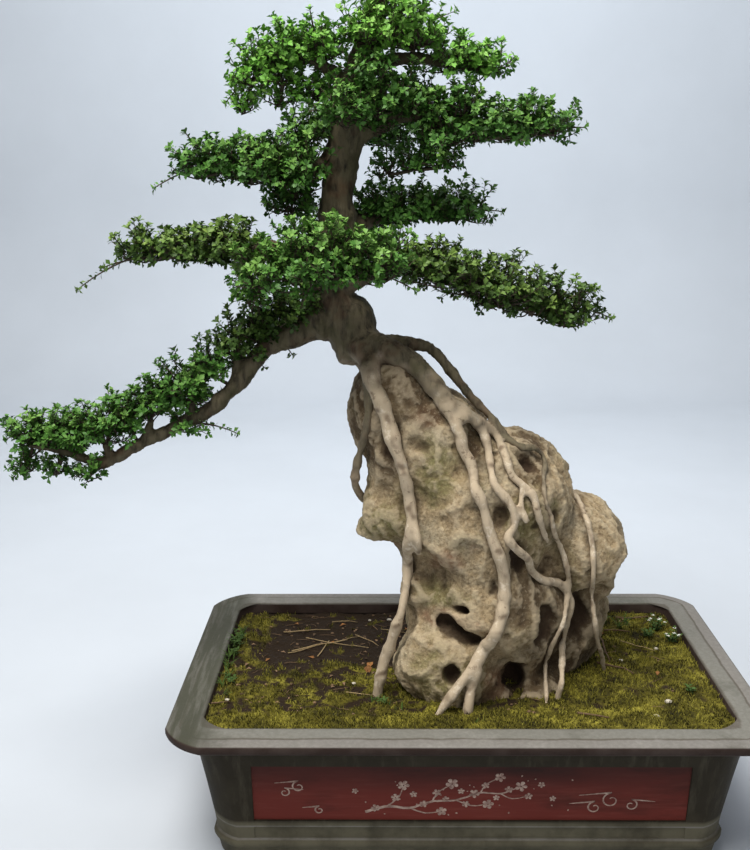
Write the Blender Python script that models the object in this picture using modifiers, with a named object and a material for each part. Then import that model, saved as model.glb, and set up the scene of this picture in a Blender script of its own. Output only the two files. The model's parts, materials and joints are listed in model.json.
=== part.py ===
"""A root over rock bonsai in its pot.

A small leaved tree leans from the top of a pitted limestone. Its bare roots
run down the stone, back and front, and enter the soil of a rectangular glazed
pot on four corner feet. The pot's base centre is the model's own reference
point, with x to the right, y away from the viewer and z up. The stand empty
then carries everything so far along x that the whole object's box is centred.
"""

import math
import random

import bpy
import bmesh
from mathutils import Vector, noise
from mathutils.bvhtree import BVHTree

MM = 0.001

# The stand moves the pot sideways, to centre the box round tree and pot
STAND_SHIFT = 91.6 * MM

# Free space left between neighbouring pieces
CLEARANCE = 0.4 * MM

# Pot
POT_LENGTH = 600.0 * MM
POT_WIDTH = 380.0 * MM
POT_HEIGHT = 155.0 * MM
POT_CORNER = 46.0 * MM
CORNER_TAPER = 0.3
CORNER_STEPS = 3
CORNER_FLAT = 0.45
RIM_WIDTH = 32.0 * MM
ABOVE_RIM = 10.0 * MM
FOOT_HEIGHT = 14.0 * MM
FLOOR_TOP = 30.0 * MM
CAVITY_TAPER = 24.0 * MM
CAVITY_CORNER = 30.0 * MM
FOOT_GAP_LENGTH = 366.0 * MM
FOOT_GAP_WIDTH = 166.0 * MM
FOOT_GAP_SLOPE = 8.0 * MM
PANEL_HALF_LENGTH = 216.0 * MM
PANEL_HALF_WIDTH = 106.0 * MM
PANEL_LOW = 53.0 * MM
PANEL_HIGH = 117.0 * MM
PANEL_DEPTH = 2.5 * MM
LOWER_PANEL_LOW = 31.0 * MM
LOWER_PANEL_HIGH = 45.0 * MM
LOWER_PANEL_DEPTH = 1.5 * MM
DRAIN_RADIUS = 12.0 * MM
DRAIN_OFFSET = 130.0 * MM
DRAIN_SIDES = 16
CUTTER_REACH = 20.0 * MM

# Outer profile of the pot, bottom to top: height and inset from the rim's edge
POT_PROFILE = (
    (0.0, 47.0), (21.0, 42.0), (23.0, 39.5), (28.0, 39.0), (30.0, 42.0),
    (47.0, 40.5), (130.0, 26.0), (138.0, 25.0), (142.0, 20.0),
    (144.0, 3.5), (147.0, 0.0), (152.0, 0.0), (155.0, 3.0),
)

# Drainage screens over the two holes
SCREEN_SIDE = 45.0 * MM
SCREEN_THICKNESS = 2.0 * MM
SCREEN_OPENINGS = 2
SCREEN_BAR = 5.0 * MM

# Soil surface: height at the middle, its tilt towards the viewer, and the mound
SOIL_LEVEL = 146.5 * MM
SOIL_TILT = 0.028
SOIL_MOUND = 9.0 * MM
SOIL_MOUND_REACH = 120.0 * MM
SOIL_LUMPS = 2.2 * MM
SOIL_LUMP_SPACING = 45.0 * MM
SOIL_RINGS = (1.0, 0.90, 0.74, 0.54, 0.30)

# Masses of the stone: centre, then half sizes, in millimetres
STONE_MASSES = {
    "head": ((-72, -20, 445), (56, 52, 72)),
    "neck": ((-38, -25, 397), (70, 60, 78)),
    "ridge": ((58, -12, 377), (58, 52, 50)),
    "chest": ((15, -30, 335), (92, 72, 88)),
    "shoulder": ((117, 4, 290), (64, 60, 56)),
    "chin": ((-72, -32, 343), (40, 42, 34)),
    "waist": ((25, -35, 230), (88, 72, 92)),
    "nub": ((-48, -50, 257), (24, 26, 22)),
    "left_foot": ((-14, -58, 173), (60, 56, 66)),
    "right_foot": ((100, -5, 203), (56, 62, 90)),
    "base": ((45, -22, 137), (108, 84, 50)),
}

# Hollows in the stone: place across and up, half sizes, and tilt in degrees
STONE_HOLLOWS = {
    "slanted_cave": ((-9, 226), (19, 26, 9), -28),
    "small_hole": ((-15, 192), (7, 22, 12), 10),
    "arch": ((47, 170), (15, 30, 19), 0),
    "long_recess": ((50, 300), (16, 16, 30), 12),
    "big_cave": ((76, 243), (15, 28, 34), 4),
    "shoulder_gap": ((128, 232), (11, 40, 38), 0),
    "oval_hollow": ((52, 398), (14, 14, 21), 0),
    "side_hollow": ((14, 345), (10, 13, 18), -10),
    "eye": ((-72, 448), (8, 12, 14), 35),
    "left_notch": ((-111, 383), (16, 40, 12), -35),
}
SMALL_HOLLOW = 26
STONE_SKIN = 5.0 * MM
SCOOP_SPACING = 46.0 * MM
SCOOP_DEPTH = 15.0 * MM
SCOOP_MIDDLE = 0.55
BULGE_SPACING = 85.0 * MM
BULGE_DEPTH = 7.0 * MM
STONE_TRIANGLES = 500
THINNING_TRIES = 12
THINNING_STEP = 0.04
STONE_SOIL_GAP = 0.7 * MM

# Side of the stone on which a root's point is laid, in place of its y
FRONT = "front"
BACK = "back"
ROOT_LIFT = 1.0
ROOT_SMOOTHING = 2

# The trunk, its limbs and the roots: x, y, z and radius, in millimetres
WOOD_STEP = 41.0
LIMB_STEP = 42.0
TRUNK_SIDES = 10
ROOT_CROWN_SIDES = 8
THICK_SIDES = 8
ROOT_SIDES = 6
SLIM_SIDES = 4
THIN_ROOTS = ("left_behind", "far_right", "back_right", "short")
THICK_LIMB = 15
SLIM_LIMB = 7
TRUNK = (
    (-104, -16, 497, 20), (-113, -6, 512, 25), (-124, 0, 532, 25),
    (-135, 0, 568, 21), (-133, 0, 630, 19), (-126, 0, 700, 18),
    (-116, 0, 755, 16), (-94, 0, 826, 12), (-89, 0, 862, 9), (-92, 0, 894, 5),
)
ROOT_CROWN = (
    (-124, -4, 525, 22), (-100, -20, 508, 21), (-70, -34, 502, 17), (-42, -44, 482, 14),
)
ROOTS = {
    "left": (
        (-112, -18, 514, 15), (-97, -46, 491, 13), (-90, -62, 456, 12),
        (-80, -70, 423, 11), (-66, FRONT, 392, 9.5), (-57, FRONT, 340, 9),
        (-60, FRONT, 288, 8.5), (-66, -74, 256, 7.5), (-78, -74, 218, 7),
        (-89, -73, 170, 7.5), (-94, -73, 138, 7.5), (-95, -73, 112, 6.5),
    ),
    "left_behind": (
        (-100, -48, 480, 8), (-105, -60, 445, 6.5), (-112, -50, 405, 6), (-113, -44, 372, 6),
        (-104, -26, 346, 6), (-84, BACK, 330, 6), (-50, BACK, 314, 5.5), (-28, BACK, 296, 5),
    ),
    "middle": (
        (-100, -18, 512, 16), (-82, -40, 507, 15), (-59, FRONT, 490, 14),
        (-37, FRONT, 468, 14), (-17, FRONT, 449, 13), (2, FRONT, 425, 10),
    ),
    "centre": (
        (-16, FRONT, 445, 9), (-3, FRONT, 408, 8), (14, FRONT, 376, 8), (26, FRONT, 335, 8.5),
        (34, FRONT, 290, 9), (32, FRONT, 248, 9), (20, FRONT, 212, 9.5), (-2, -116, 168, 9.5),
        (-5, -123, 146, 7), (-6, -128, 116, 6),
    ),
    "centre_toe": (
        (4, -112, 180, 8), (-14, -118, 160, 6.5), (-29, -122, 145, 5.5), (-38, -126, 118, 4.5),
    ),
    "bent": (
        (0, FRONT, 428, 9), (18, FRONT, 400, 7.5), (32, FRONT, 371, 6.5), (43, FRONT, 345, 6.5),
        (38, FRONT, 323, 6.5), (52, FRONT, 310, 6.5), (68, FRONT, 290, 6.5), (91, FRONT, 263, 6.5),
        (108, FRONT, 238, 6), (111, FRONT, 208, 5.5), (106, -80, 178, 5),
        (96, -88, 152, 4.5), (92, -92, 118, 4),
    ),
    "short": (
        (6, FRONT, 440, 8), (22, FRONT, 420, 7), (30, FRONT, 400, 6), (34, FRONT, 380, 4.5),
    ),
    "arched": (
        (-96, -14, 514, 10), (-68, -28, 516, 8.5), (-34, -26, 509, 8), (-8, -25, 484, 7.5),
        (18, -27, 450, 7), (36, -31, 430, 6.5), (52, -42, 419, 6), (68, -46, 415, 6),
        (78, -56, 400, 5.5), (76, FRONT, 370, 5), (88, FRONT, 332, 4.5), (104, FRONT, 300, 5),
        (110, FRONT, 266, 5), (104, FRONT, 238, 4.5), (93, FRONT, 198, 4.5),
        (84, -94, 158, 4), (80, -102, 118, 3.5),
    ),
    "far_right": (
        (-104, 12, 510, 9), (-70, BACK, 478, 8), (-20, BACK, 440, 7), (40, BACK, 402, 6),
        (88, 42, 392, 5.5), (118, 8, 381, 5), (132, -28, 360, 4.5), (137, FRONT, 332, 4),
        (142, FRONT, 290, 4), (145, FRONT, 245, 4), (150, -46, 200, 4), (163, -22, 160, 3.5),
        (170, -4, 118, 3.5),
    ),
    "back_left": (
        (-112, 14, 508, 12), (-98, BACK, 470, 10), (-66, BACK, 420, 9), (-40, BACK, 370, 8),
        (-28, BACK, 320, 8), (-12, BACK, 265, 7.5), (-20, BACK, 210, 7), (-8, 42, 160, 6.5),
        (-6, 52, 116, 6),
    ),
    "back_right": (
        (-40, BACK, 452, 7), (0, BACK, 405, 7), (40, BACK, 350, 7), (78, BACK, 300, 6.5),
        (84, BACK, 250, 6), (104, BACK, 205, 5.5), (112, 68, 158, 5), (116, 74, 116, 4.5),
    ),
}
LIMBS = {
    "low_left": (
        (-124, -4, 532, 21), (-151, -8, 534, 17), (-182, -10, 519, 12.5), (-212, -12, 500, 10),
        (-240, -12, 467, 8.5), (-267, -12, 442, 8), (-304, -12, 424, 7), (-348, -14, 402, 6.5),
        (-384, -16, 386, 5.5), (-420, -20, 400, 4), (-458, -24, 408, 3),
    ),
    "low_left_twig_1": ((-240, -12, 468, 6), (-238, -11, 484, 5), (-236, -10, 497, 4)),
    "low_left_twig_2": ((-196, -10, 511, 7), (-192, -11, 534, 4.5)),
    "low_left_twig_3": ((-290, -12, 430, 5), (-286, -12, 444, 4.5), (-284, -12, 456, 3.5)),
    "low_left_twig_4": ((-338, -13, 408, 5), (-332, -12, 420, 4), (-328, -12, 432, 3.5)),
    "low_left_twig_5": ((-372, -15, 391, 5), (-378, -15, 406, 3.5)),
    "mid_left": ((-133, 0, 592, 10), (-180, -20, 606, 8), (-240, -38, 607, 6)),
    "upper_left": ((-128, 0, 678, 9), (-150, -6, 688, 8), (-176, -10, 690, 6)),
    "top_left": ((-114, 0, 760, 8), (-140, 0, 782, 6.5), (-164, 0, 795, 5)),
    "top_right": ((-108, 0, 775, 8), (-72, 4, 789, 6.5), (-18, 10, 787, 5)),
    "right_up": ((-124, 0, 705, 10), (-90, -6, 727, 8), (-54, -10, 735, 6)),
    "right_mid": ((-133, 2, 618, 10), (-100, 20, 633, 8), (-66, 33, 639, 6)),
    "right_low": ((-134, -2, 570, 12), (-95, -24, 584, 9), (-60, -36, 591, 7.5), (-30, -40, 590, 6)),
    "front": ((-134, -8, 584, 9), (-138, -50, 592, 7), (-139, -92, 600, 4.5)),
    "front_left": ((-137, -44, 590, 6), (-165, -66, 594, 5), (-188, -78, 596, 3.5)),
    "front_right": ((-137, -44, 590, 6), (-116, -66, 592, 5), (-98, -82, 594, 3.5)),
    "back_low": ((-133, 6, 612, 9), (-142, 50, 618, 7), (-156, 96, 612, 4)),
    "back_low_right": ((-140, 44, 617, 6), (-116, 78, 610, 4.5), (-104, 100, 606, 3.5)),
    "back_high": ((-123, 6, 716, 8), (-122, 48, 728, 6), (-130, 84, 730, 3.5)),
    "back_high_right": ((-122, 44, 727, 5), (-102, 66, 724, 4), (-86, 82, 722, 3)),
}

# Leafy sprays: each mass is its centre and then its half sizes, in millimetres
SPRAYS = {
    "spray_low_left_tip": (
        (-450, -23, 409, 30, 28, 24), (-396, -17, 410, 36, 38, 25),
    ),
    "spray_low_left_middle": ((-328, -12, 436, 30, 36, 25), (-283, -12, 460, 30, 36, 27)),
    "spray_low_left_inner": ((-236, -10, 506, 34, 38, 33), (-192, -12, 540, 33, 36, 26)),
    "spray_middle_left": ((-318, -36, 602, 38, 34, 20), (-258, -38, 606, 40, 42, 27)),
    "spray_upper_left": ((-262, -8, 686, 38, 34, 21), (-196, -10, 690, 42, 46, 32)),
    "spray_top_left": ((-212, 0, 782, 30, 34, 23), (-165, 0, 796, 34, 42, 30)),
    "spray_crown": (
        (-114, -18, 806, 37, 44, 27), (-56, -14, 810, 38, 42, 28), (-90, -4, 876, 35, 36, 31),
    ),
    "spray_top_right": ((-14, 10, 786, 34, 38, 24), (24, 10, 781, 24, 28, 18)),
    "spray_right_upper": (
        (-113, -49, 731, 36, 30, 23), (-56, -12, 740, 36, 44, 27), (6, -10, 721, 40, 44, 24),
        (70, -10, 721, 40, 34, 19),
    ),
    "spray_right_middle": ((-62, 34, 640, 40, 44, 26), (-6, 30, 640, 40, 38, 22)),
    "spray_right_lower": (
        (-26, -40, 590, 36, 42, 24), (30, -32, 572, 42, 44, 28), (94, -20, 551, 42, 38, 26),
    ),
    "spray_front": (
        (-190, -82, 598, 34, 38, 30), (-140, -98, 606, 36, 40, 34), (-92, -86, 597, 34, 38, 32),
    ),
    "spray_back_lower": ((-160, 106, 612, 44, 42, 28), (-100, 108, 606, 38, 40, 26)),
    "spray_back_upper": ((-136, 92, 730, 38, 40, 26), (-84, 90, 722, 34, 38, 24)),
}
CORE_SHARE = (0.66, 0.66, 0.60)
CORE_POINTS = 14
CORE_ROUGHNESS = 0.24
CORE_SPIKE = 1.36
CORE_DENT = 0.80
CORE_WAVES = 1.7
LINK_RADIUS = 4.5
SPRIGS_PER_MASS = 4
SPRIGS_PER_LARGE_MASS = 5
LARGE_MASS = 37
MASS_TURN = 1.9

# Shoots that reach past the masses: from and to, in millimetres
LONG_SHOOTS = {
    "spray_middle_left": (((-330, -36, 602), (-372, -35, 578)), ((-226, -40, 606), (-206, -56, 572))),
    "spray_upper_left": (((-272, -8, 686), (-306, -6, 672)), ((-262, -8, 690), (-280, -6, 716))),
    "spray_top_left": (((-206, 0, 782), (-234, -2, 758)),),
    "spray_low_left_tip": (((-440, -23, 404), (-466, -26, 384)),),
    "spray_right_upper": (((76, -10, 719), (108, -10, 724)),),
    "spray_right_lower": (((104, -20, 548), (136, -16, 540)),),
    "spray_front": (((-96, -84, 590), (-62, -70, 576)),),
}

# A sprig of three thick leaves in one arched blade, its base sunk in what it grows from
SPRIG_LENGTH = 24.0 * MM
SPRIG_WIDTH = 26.0 * MM
SPRIG_THICKNESS = 2.0 * MM
SPRIG_SUNK = 3.0 * MM
SPRIG_ARCH = 0.20
SPRIG_LIFT = 0.25
SPRIG_SIZES = (0.9, 1.1)
# Outline of one half, from base to tip: shares of the length and of the width
SPRIG_SIDE = ((0.0, 0.0), (0.20, 0.05), (0.27, 0.36), (0.57, 0.50), (0.56, 0.09), (0.76, 0.22), (1.0, 0.0))
# Places of the raised rib's two points, and how many outline points the first one serves
SPRIG_RIB = (0.40, 0.78)
SPRIG_RIB_CHANGE = 4
TWIG_RADIUS = 1.7
WOOD_SPACING = 8.0 * MM
OTHER_SPRIG_SPACING = 30.0 * MM
OWN_SPRIG_SPACING = 14.0 * MM
SHOOT_SPRIG_SPACING = 18.0 * MM
SHOOT_LEAN = 0.6
LEAF_SWAY = 0.8
NEARLY_ALONG = 0.9
SWEEP = 0.3
GOLDEN_ANGLE = math.pi * (3.0 - math.sqrt(5.0))
SEED = 41

# Edges sharper than this, in degrees, stay hard when the faces are shaded smooth
SHARP_ANGLE = 32.0

# Colour, roughness and metallic value of each material
FINISHES = {
    "glazed_stoneware": ((0.050, 0.055, 0.042), 0.35, 0.0),
    "screen_plastic": ((0.020, 0.022, 0.020), 0.60, 0.0),
    "mossy_soil": ((0.110, 0.120, 0.030), 0.95, 0.0),
    "limestone": ((0.420, 0.345, 0.215), 0.90, 0.0),
    "bark": ((0.260, 0.200, 0.140), 0.80, 0.0),
    "leaves": ((0.060, 0.170, 0.035), 0.55, 0.0),
}

model_parts = None
cutter_parts = None


def clear_scene():
    """Remove every object that the scene starts with."""
    for item in list(bpy.data.objects):
        bpy.data.objects.remove(item)


def new_collection(name):
    """Add a collection to the scene."""
    group = bpy.data.collections.new(name)
    bpy.context.scene.collection.children.link(group)
    return group


def material(name):
    """Return the named finish as a Principled material."""
    found = bpy.data.materials.get(name)
    if found:
        return found
    colour, roughness, metallic = FINISHES[name]
    made = bpy.data.materials.new(name)
    made.use_nodes = True
    shader = made.node_tree.nodes["Principled BSDF"]
    shader.inputs["Base Color"].default_value = (*colour, 1.0)
    shader.inputs["Roughness"].default_value = roughness
    shader.inputs["Metallic"].default_value = metallic
    made.diffuse_color = (*colour, 1.0)
    return made


def paint(item, name):
    """Give the whole of an object one finish."""
    item.data.materials.clear()
    item.data.materials.append(material(name))
    for face in item.data.polygons:
        face.material_index = 0


def object_from(name, mesh, group):
    """Wrap a mesh in an object of one collection."""
    item = bpy.data.objects.new(name, mesh)
    group.objects.link(item)
    return item


def object_from_bmesh(name, bm, group):
    """Turn a bmesh into an object, with its faces outwards and in triangles."""
    bm.normal_update()
    bmesh.ops.recalc_face_normals(bm, faces=bm.faces)
    bmesh.ops.triangulate(bm, faces=bm.faces)
    mesh = bpy.data.meshes.new(name)
    bm.to_mesh(mesh)
    bm.free()
    return object_from(name, mesh, group)


def evaluated_mesh(item):
    """Return a copy of an object's mesh with its modifiers applied."""
    graph = bpy.context.evaluated_depsgraph_get()
    graph.update()
    return bpy.data.meshes.new_from_object(item.evaluated_get(graph))


def apply_modifiers(item):
    """Replace an object's mesh by its evaluated one."""
    mesh = evaluated_mesh(item)
    item.modifiers.clear()
    item.data = mesh


def volume_of(faces):
    """Return the signed volume within a closed set of triangles."""
    total = 0.0
    for face in faces:
        first, second, third = (vert.co for vert in face.verts)
        total += first.dot(second.cross(third)) / 6.0
    return total


def face_groups(bm):
    """Split a bmesh's faces into groups that share edges."""
    waiting = set(bm.faces)
    groups = []
    while waiting:
        stack = [waiting.pop()]
        group = []
        while stack:
            face = stack.pop()
            group.append(face)
            for edge in face.edges:
                for other in edge.link_faces:
                    if other in waiting:
                        waiting.remove(other)
                        stack.append(other)
        groups.append(group)
    return groups


def keep_one_body(item):
    """Drop loose scraps and sealed hollows, and leave the largest closed body."""
    bm = bmesh.new()
    bm.from_mesh(item.data)
    bmesh.ops.triangulate(bm, faces=bm.faces)
    bmesh.ops.dissolve_degenerate(bm, dist=0.01 * MM, edges=bm.edges)
    bmesh.ops.triangulate(bm, faces=bm.faces)
    groups = face_groups(bm)
    largest = max(groups, key=volume_of)
    spare = [face for group in groups if group is not largest for face in group]
    bmesh.ops.delete(bm, geom=spare, context="FACES")
    bm.to_mesh(item.data)
    bm.free()


def combine(base, tools, operation, solver="MANIFOLD"):
    """Join or cut a mesh object with a list of others, which are then removed."""
    group = new_collection("boolean_tools")
    for tool in tools:
        group.objects.link(tool)
    step = base.modifiers.new("combine", "BOOLEAN")
    step.operation = operation
    step.operand_type = "COLLECTION"
    step.collection = group
    step.solver = solver
    apply_modifiers(base)
    for tool in tools:
        bpy.data.objects.remove(tool)
    bpy.data.collections.remove(group)
    return base


def copy_of(item, name):
    """Copy a mesh object with its own mesh."""
    twin = item.copy()
    twin.data = item.data.copy()
    twin.name = name
    cutter_parts.objects.link(twin)
    return twin


def box(name, low, high, top_inset=0.0):
    """Make a box from two opposite corners, with its top drawn in by an inset."""
    bm = bmesh.new()
    bmesh.ops.create_cube(bm, size=1.0)
    centre = (Vector(low) + Vector(high)) / 2
    size = Vector(high) - Vector(low)
    for vert in bm.verts:
        inset = top_inset if vert.co.z > 0 else 0.0
        vert.co.x = centre.x + vert.co.x * (size.x - 2 * inset)
        vert.co.y = centre.y + vert.co.y * (size.y - 2 * inset)
        vert.co.z = centre.z + vert.co.z * size.z
    return object_from_bmesh(name, bm, cutter_parts)


def ellipsoid(name, centre, half_sizes, detail=3, tilt=0.0):
    """Make an ellipsoid, tilted in the plane that faces the viewer."""
    bm = bmesh.new()
    bmesh.ops.create_icosphere(bm, subdivisions=detail, radius=1.0)
    turn = math.radians(tilt)
    for vert in bm.verts:
        x = vert.co.x * half_sizes[0]
        z = vert.co.z * half_sizes[2]
        vert.co.x = centre[0] + x * math.cos(turn) - z * math.sin(turn)
        vert.co.y = centre[1] + vert.co.y * half_sizes[1]
        vert.co.z = centre[2] + x * math.sin(turn) + z * math.cos(turn)
    return object_from_bmesh(name, bm, cutter_parts)


def ring(half_length, half_width, corner, height, flat=0.0):
    """Return the points of a rounded rectangle, whose corners may be flattened."""
    points = []
    for quarter in range(4):
        start = quarter * math.pi / 2
        sign_x = 1 if quarter in (0, 3) else -1
        sign_y = 1 if quarter in (0, 1) else -1
        centre = Vector((sign_x * (half_length - corner), sign_y * (half_width - corner), height))
        first = Vector((math.cos(start), math.sin(start), 0.0))
        last = Vector((-math.sin(start), math.cos(start), 0.0))
        for step in range(CORNER_STEPS + 1):
            share = step / CORNER_STEPS
            angle = start + share * math.pi / 2
            on_arc = Vector((math.cos(angle), math.sin(angle), 0.0))
            on_chord = first.lerp(last, share)
            points.append(centre + corner * on_arc.lerp(on_chord, flat))
    return points


def loft(name, rings, group):
    """Skin a stack of rings with equal point counts, closed at both ends."""
    bm = bmesh.new()
    rows = [[bm.verts.new(point) for point in points] for points in rings]
    for lower, upper in zip(rows, rows[1:]):
        for index in range(len(lower)):
            following = (index + 1) % len(lower)
            bm.faces.new((lower[index], lower[following], upper[following], upper[index]))
    bm.faces.new(rows[0])
    bm.faces.new(rows[-1])
    return object_from_bmesh(name, bm, group)


def smooth_route(route, spacing=WOOD_STEP):
    """Read a smooth curve through a route: its points and the span each lies in."""
    knots = [Vector(point) for point in route]
    points = [knots[0].copy()]
    spans = [0]
    for index in range(len(knots) - 1):
        before = knots[max(index - 1, 0)]
        start = knots[index]
        end = knots[index + 1]
        after = knots[min(index + 2, len(knots) - 1)]
        count = max(1, round((end - start).length / spacing))
        for step in range(1, count + 1):
            share = step / count
            pull = (end - before) * share + (2 * before - 5 * start + 4 * end - after) * share ** 2
            push = (3 * start - before - 3 * end + after) * share ** 3
            points.append(start + (pull + push) / 2)
            spans.append(index)
    return points, spans


def tube(name, points, sides=6, grow=0.0):
    """Make a round limb along points of x, y, z and radius in millimetres."""
    curve = bpy.data.curves.new(name, "CURVE")
    curve.dimensions = "3D"
    curve.bevel_depth = MM
    curve.bevel_resolution = (sides - 4) // 2
    curve.render_resolution_u = 0
    curve.use_fill_caps = True
    spline = curve.splines.new("POLY")
    spline.points.add(len(points) - 1)
    for target, point in zip(spline.points, points):
        target.co = (point[0] * MM, point[1] * MM, point[2] * MM, 1.0)
        target.radius = point[3] + grow / MM
    if grow:
        start = spline.points[0].co.xyz
        end = spline.points[-1].co.xyz
        start_way = (start - spline.points[1].co.xyz).normalized()
        end_way = (end - spline.points[-2].co.xyz).normalized()
        spline.points[0].co = (*(start + start_way * grow), 1.0)
        spline.points[-1].co = (*(end + end_way * grow), 1.0)
    guide = object_from(name + "_route", curve, cutter_parts)
    bm = bmesh.new()
    bm.from_mesh(evaluated_mesh(guide))
    bmesh.ops.remove_doubles(bm, verts=bm.verts, dist=0.01 * MM)
    bpy.data.objects.remove(guide)
    return object_from_bmesh(name, bm, cutter_parts)


def add_pot():
    """Build the fired pot: walls, rim, floor, feet, panels and drain holes."""
    half_length = POT_LENGTH / 2
    half_width = POT_WIDTH / 2
    outside = []
    for height, inset in POT_PROFILE:
        step_in = inset * MM
        corner = POT_CORNER - CORNER_TAPER * step_in
        outside.append(
            ring(half_length - step_in, half_width - step_in, corner, height * MM, CORNER_FLAT)
        )
    pot = loft("pot", outside, model_parts)
    cavity = [cavity_ring(0.0, FLOOR_TOP), cavity_ring(0.0, POT_HEIGHT + ABOVE_RIM)]
    tools = [loft("cavity", cavity, cutter_parts)]
    for length, width in ((FOOT_GAP_LENGTH, POT_WIDTH), (POT_LENGTH, FOOT_GAP_WIDTH)):
        low = (-length / 2 - FOOT_GAP_SLOPE, -width / 2 - FOOT_GAP_SLOPE, -FOOT_HEIGHT)
        high = (length / 2 + FOOT_GAP_SLOPE, width / 2 + FOOT_GAP_SLOPE, FOOT_HEIGHT)
        tools.append(box("foot_gap", low, high, 2 * FOOT_GAP_SLOPE))
    for side in (-1, 1):
        tools.append(drain_cutter(side))
        tools.append(panel_cutter("front", side, PANEL_LOW, PANEL_HIGH, PANEL_DEPTH))
        tools.append(panel_cutter("end", side, PANEL_LOW, PANEL_HIGH, PANEL_DEPTH))
        tools.append(panel_cutter("front", side, LOWER_PANEL_LOW, LOWER_PANEL_HIGH, LOWER_PANEL_DEPTH))
        tools.append(panel_cutter("end", side, LOWER_PANEL_LOW, LOWER_PANEL_HIGH, LOWER_PANEL_DEPTH))
    combine(pot, tools, "DIFFERENCE", "EXACT")
    keep_one_body(pot)
    paint(pot, "glazed_stoneware")
    return pot


def cavity_size(height):
    """Return the half length and half width of the pot's inside at a height."""
    depth_share = (POT_HEIGHT - height) / (POT_HEIGHT - FLOOR_TOP)
    taper = RIM_WIDTH + CAVITY_TAPER * depth_share
    return POT_LENGTH / 2 - taper, POT_WIDTH / 2 - taper


def cavity_ring(clearance, height):
    """Return the ring of the pot's inside at a height, drawn in by a clearance."""
    half_length, half_width = cavity_size(height)
    return ring(half_length - clearance, half_width - clearance, CAVITY_CORNER - clearance, height)


def drain_cutter(side):
    """Make the cutter of one drain hole."""
    bm = bmesh.new()
    bmesh.ops.create_cone(
        bm, cap_ends=True, segments=DRAIN_SIDES, radius1=DRAIN_RADIUS, radius2=DRAIN_RADIUS,
        depth=2 * (FLOOR_TOP + CUTTER_REACH),
    )
    bmesh.ops.translate(bm, verts=bm.verts, vec=(side * DRAIN_OFFSET, 0.0, 0.0))
    return object_from_bmesh("drain", bm, cutter_parts)


def outside_inset(height):
    """Return the pot's inset from the rim's edge at a height, both in metres."""
    level = height / MM
    for (low, low_inset), (high, high_inset) in zip(POT_PROFILE, POT_PROFILE[1:]):
        if low <= level <= high:
            return MM * (low_inset + (high_inset - low_inset) * (level - low) / (high - low))
    return 0.0


def panel_cutter(face, side, low, high, depth):
    """Make the slab that sinks one panel into a sloping wall."""
    bm = bmesh.new()
    bmesh.ops.create_cube(bm, size=1.0)
    for vert in bm.verts:
        height = high if vert.co.z > 0 else low
        half_span = POT_WIDTH / 2 if face == "front" else POT_LENGTH / 2
        wall = half_span - outside_inset(height)
        outward = wall + CUTTER_REACH if vert.co.y > 0 else wall - depth
        across = PANEL_HALF_LENGTH if face == "front" else PANEL_HALF_WIDTH
        along = across if vert.co.x > 0 else -across
        if face == "front":
            vert.co = (along, side * outward, height)
        else:
            vert.co = (side * outward, along, height)
    return object_from_bmesh("panel_" + face, bm, cutter_parts)


def add_screen(name, side):
    """Lay a mesh plate over one drain hole."""
    half = SCREEN_SIDE / 2
    centre = side * DRAIN_OFFSET
    low = (centre - half, -half, FLOOR_TOP + CLEARANCE)
    high = (centre + half, half, FLOOR_TOP + CLEARANCE + SCREEN_THICKNESS)
    screen = box(name, low, high)
    pitch = (SCREEN_SIDE - SCREEN_BAR) / SCREEN_OPENINGS
    hole = pitch - SCREEN_BAR
    tools = []
    for column in range(SCREEN_OPENINGS):
        for row in range(SCREEN_OPENINGS):
            x = centre - half + SCREEN_BAR + column * pitch
            y = -half + SCREEN_BAR + row * pitch
            tools.append(box("opening", (x, y, 0.0), (x + hole, y + hole, POT_HEIGHT)))
    combine(screen, tools, "DIFFERENCE", "EXACT")
    keep_one_body(screen)
    cutter_parts.objects.unlink(screen)
    model_parts.objects.link(screen)
    paint(screen, "screen_plastic")
    return screen


def soil_height(x, y):
    """Return the height of the soil's surface, higher in front and at the stone."""
    base = STONE_MASSES["base"][0]
    away = math.hypot(x - base[0] * MM, y - base[1] * MM) / SOIL_MOUND_REACH
    mound = SOIL_MOUND * math.exp(-away ** 2)
    lumps = SOIL_LUMPS * noise.noise(Vector((x, y, 0.0)) / SOIL_LUMP_SPACING)
    return SOIL_LEVEL - SOIL_TILT * y + mound * (y + POT_WIDTH / 2) / POT_WIDTH + lumps


def add_soil(stone, wood):
    """Fill the pot with soil and cut room for the stone, the wood and the screens."""
    outline = []
    for index, point in enumerate(cavity_ring(CLEARANCE, SOIL_LEVEL)):
        outline.append(cavity_ring(CLEARANCE, soil_height(point.x, point.y))[index])
    rings = [cavity_ring(CLEARANCE, FLOOR_TOP + CLEARANCE)]
    for share in SOIL_RINGS:
        points = []
        for point in outline:
            x = point.x * share
            y = point.y * share
            points.append(Vector((x, y, soil_height(x, y))))
        rings.append(points)
    soil = loft("soil", rings, model_parts)
    tools = [grown_stone(stone), copy_of(wood, "wood_room")]
    for side in (-1, 1):
        half = SCREEN_SIDE / 2 + CLEARANCE
        centre = side * DRAIN_OFFSET
        top = FLOOR_TOP + SCREEN_THICKNESS + 2 * CLEARANCE
        tools.append(box("screen_room", (centre - half, -half, 0.0), (centre + half, half, top)))
    combine(soil, tools, "DIFFERENCE")
    keep_one_body(soil)
    paint(soil, "mossy_soil")
    return soil


def stone_bump(place):
    """Return how far the stone's skin is scooped in or bulges out at a place."""
    nearest = noise.voronoi(place / SCOOP_SPACING)[0][0]
    broad = noise.noise(place / BULGE_SPACING)
    return SCOOP_DEPTH * (nearest - SCOOP_MIDDLE) + BULGE_DEPTH * broad


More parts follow.
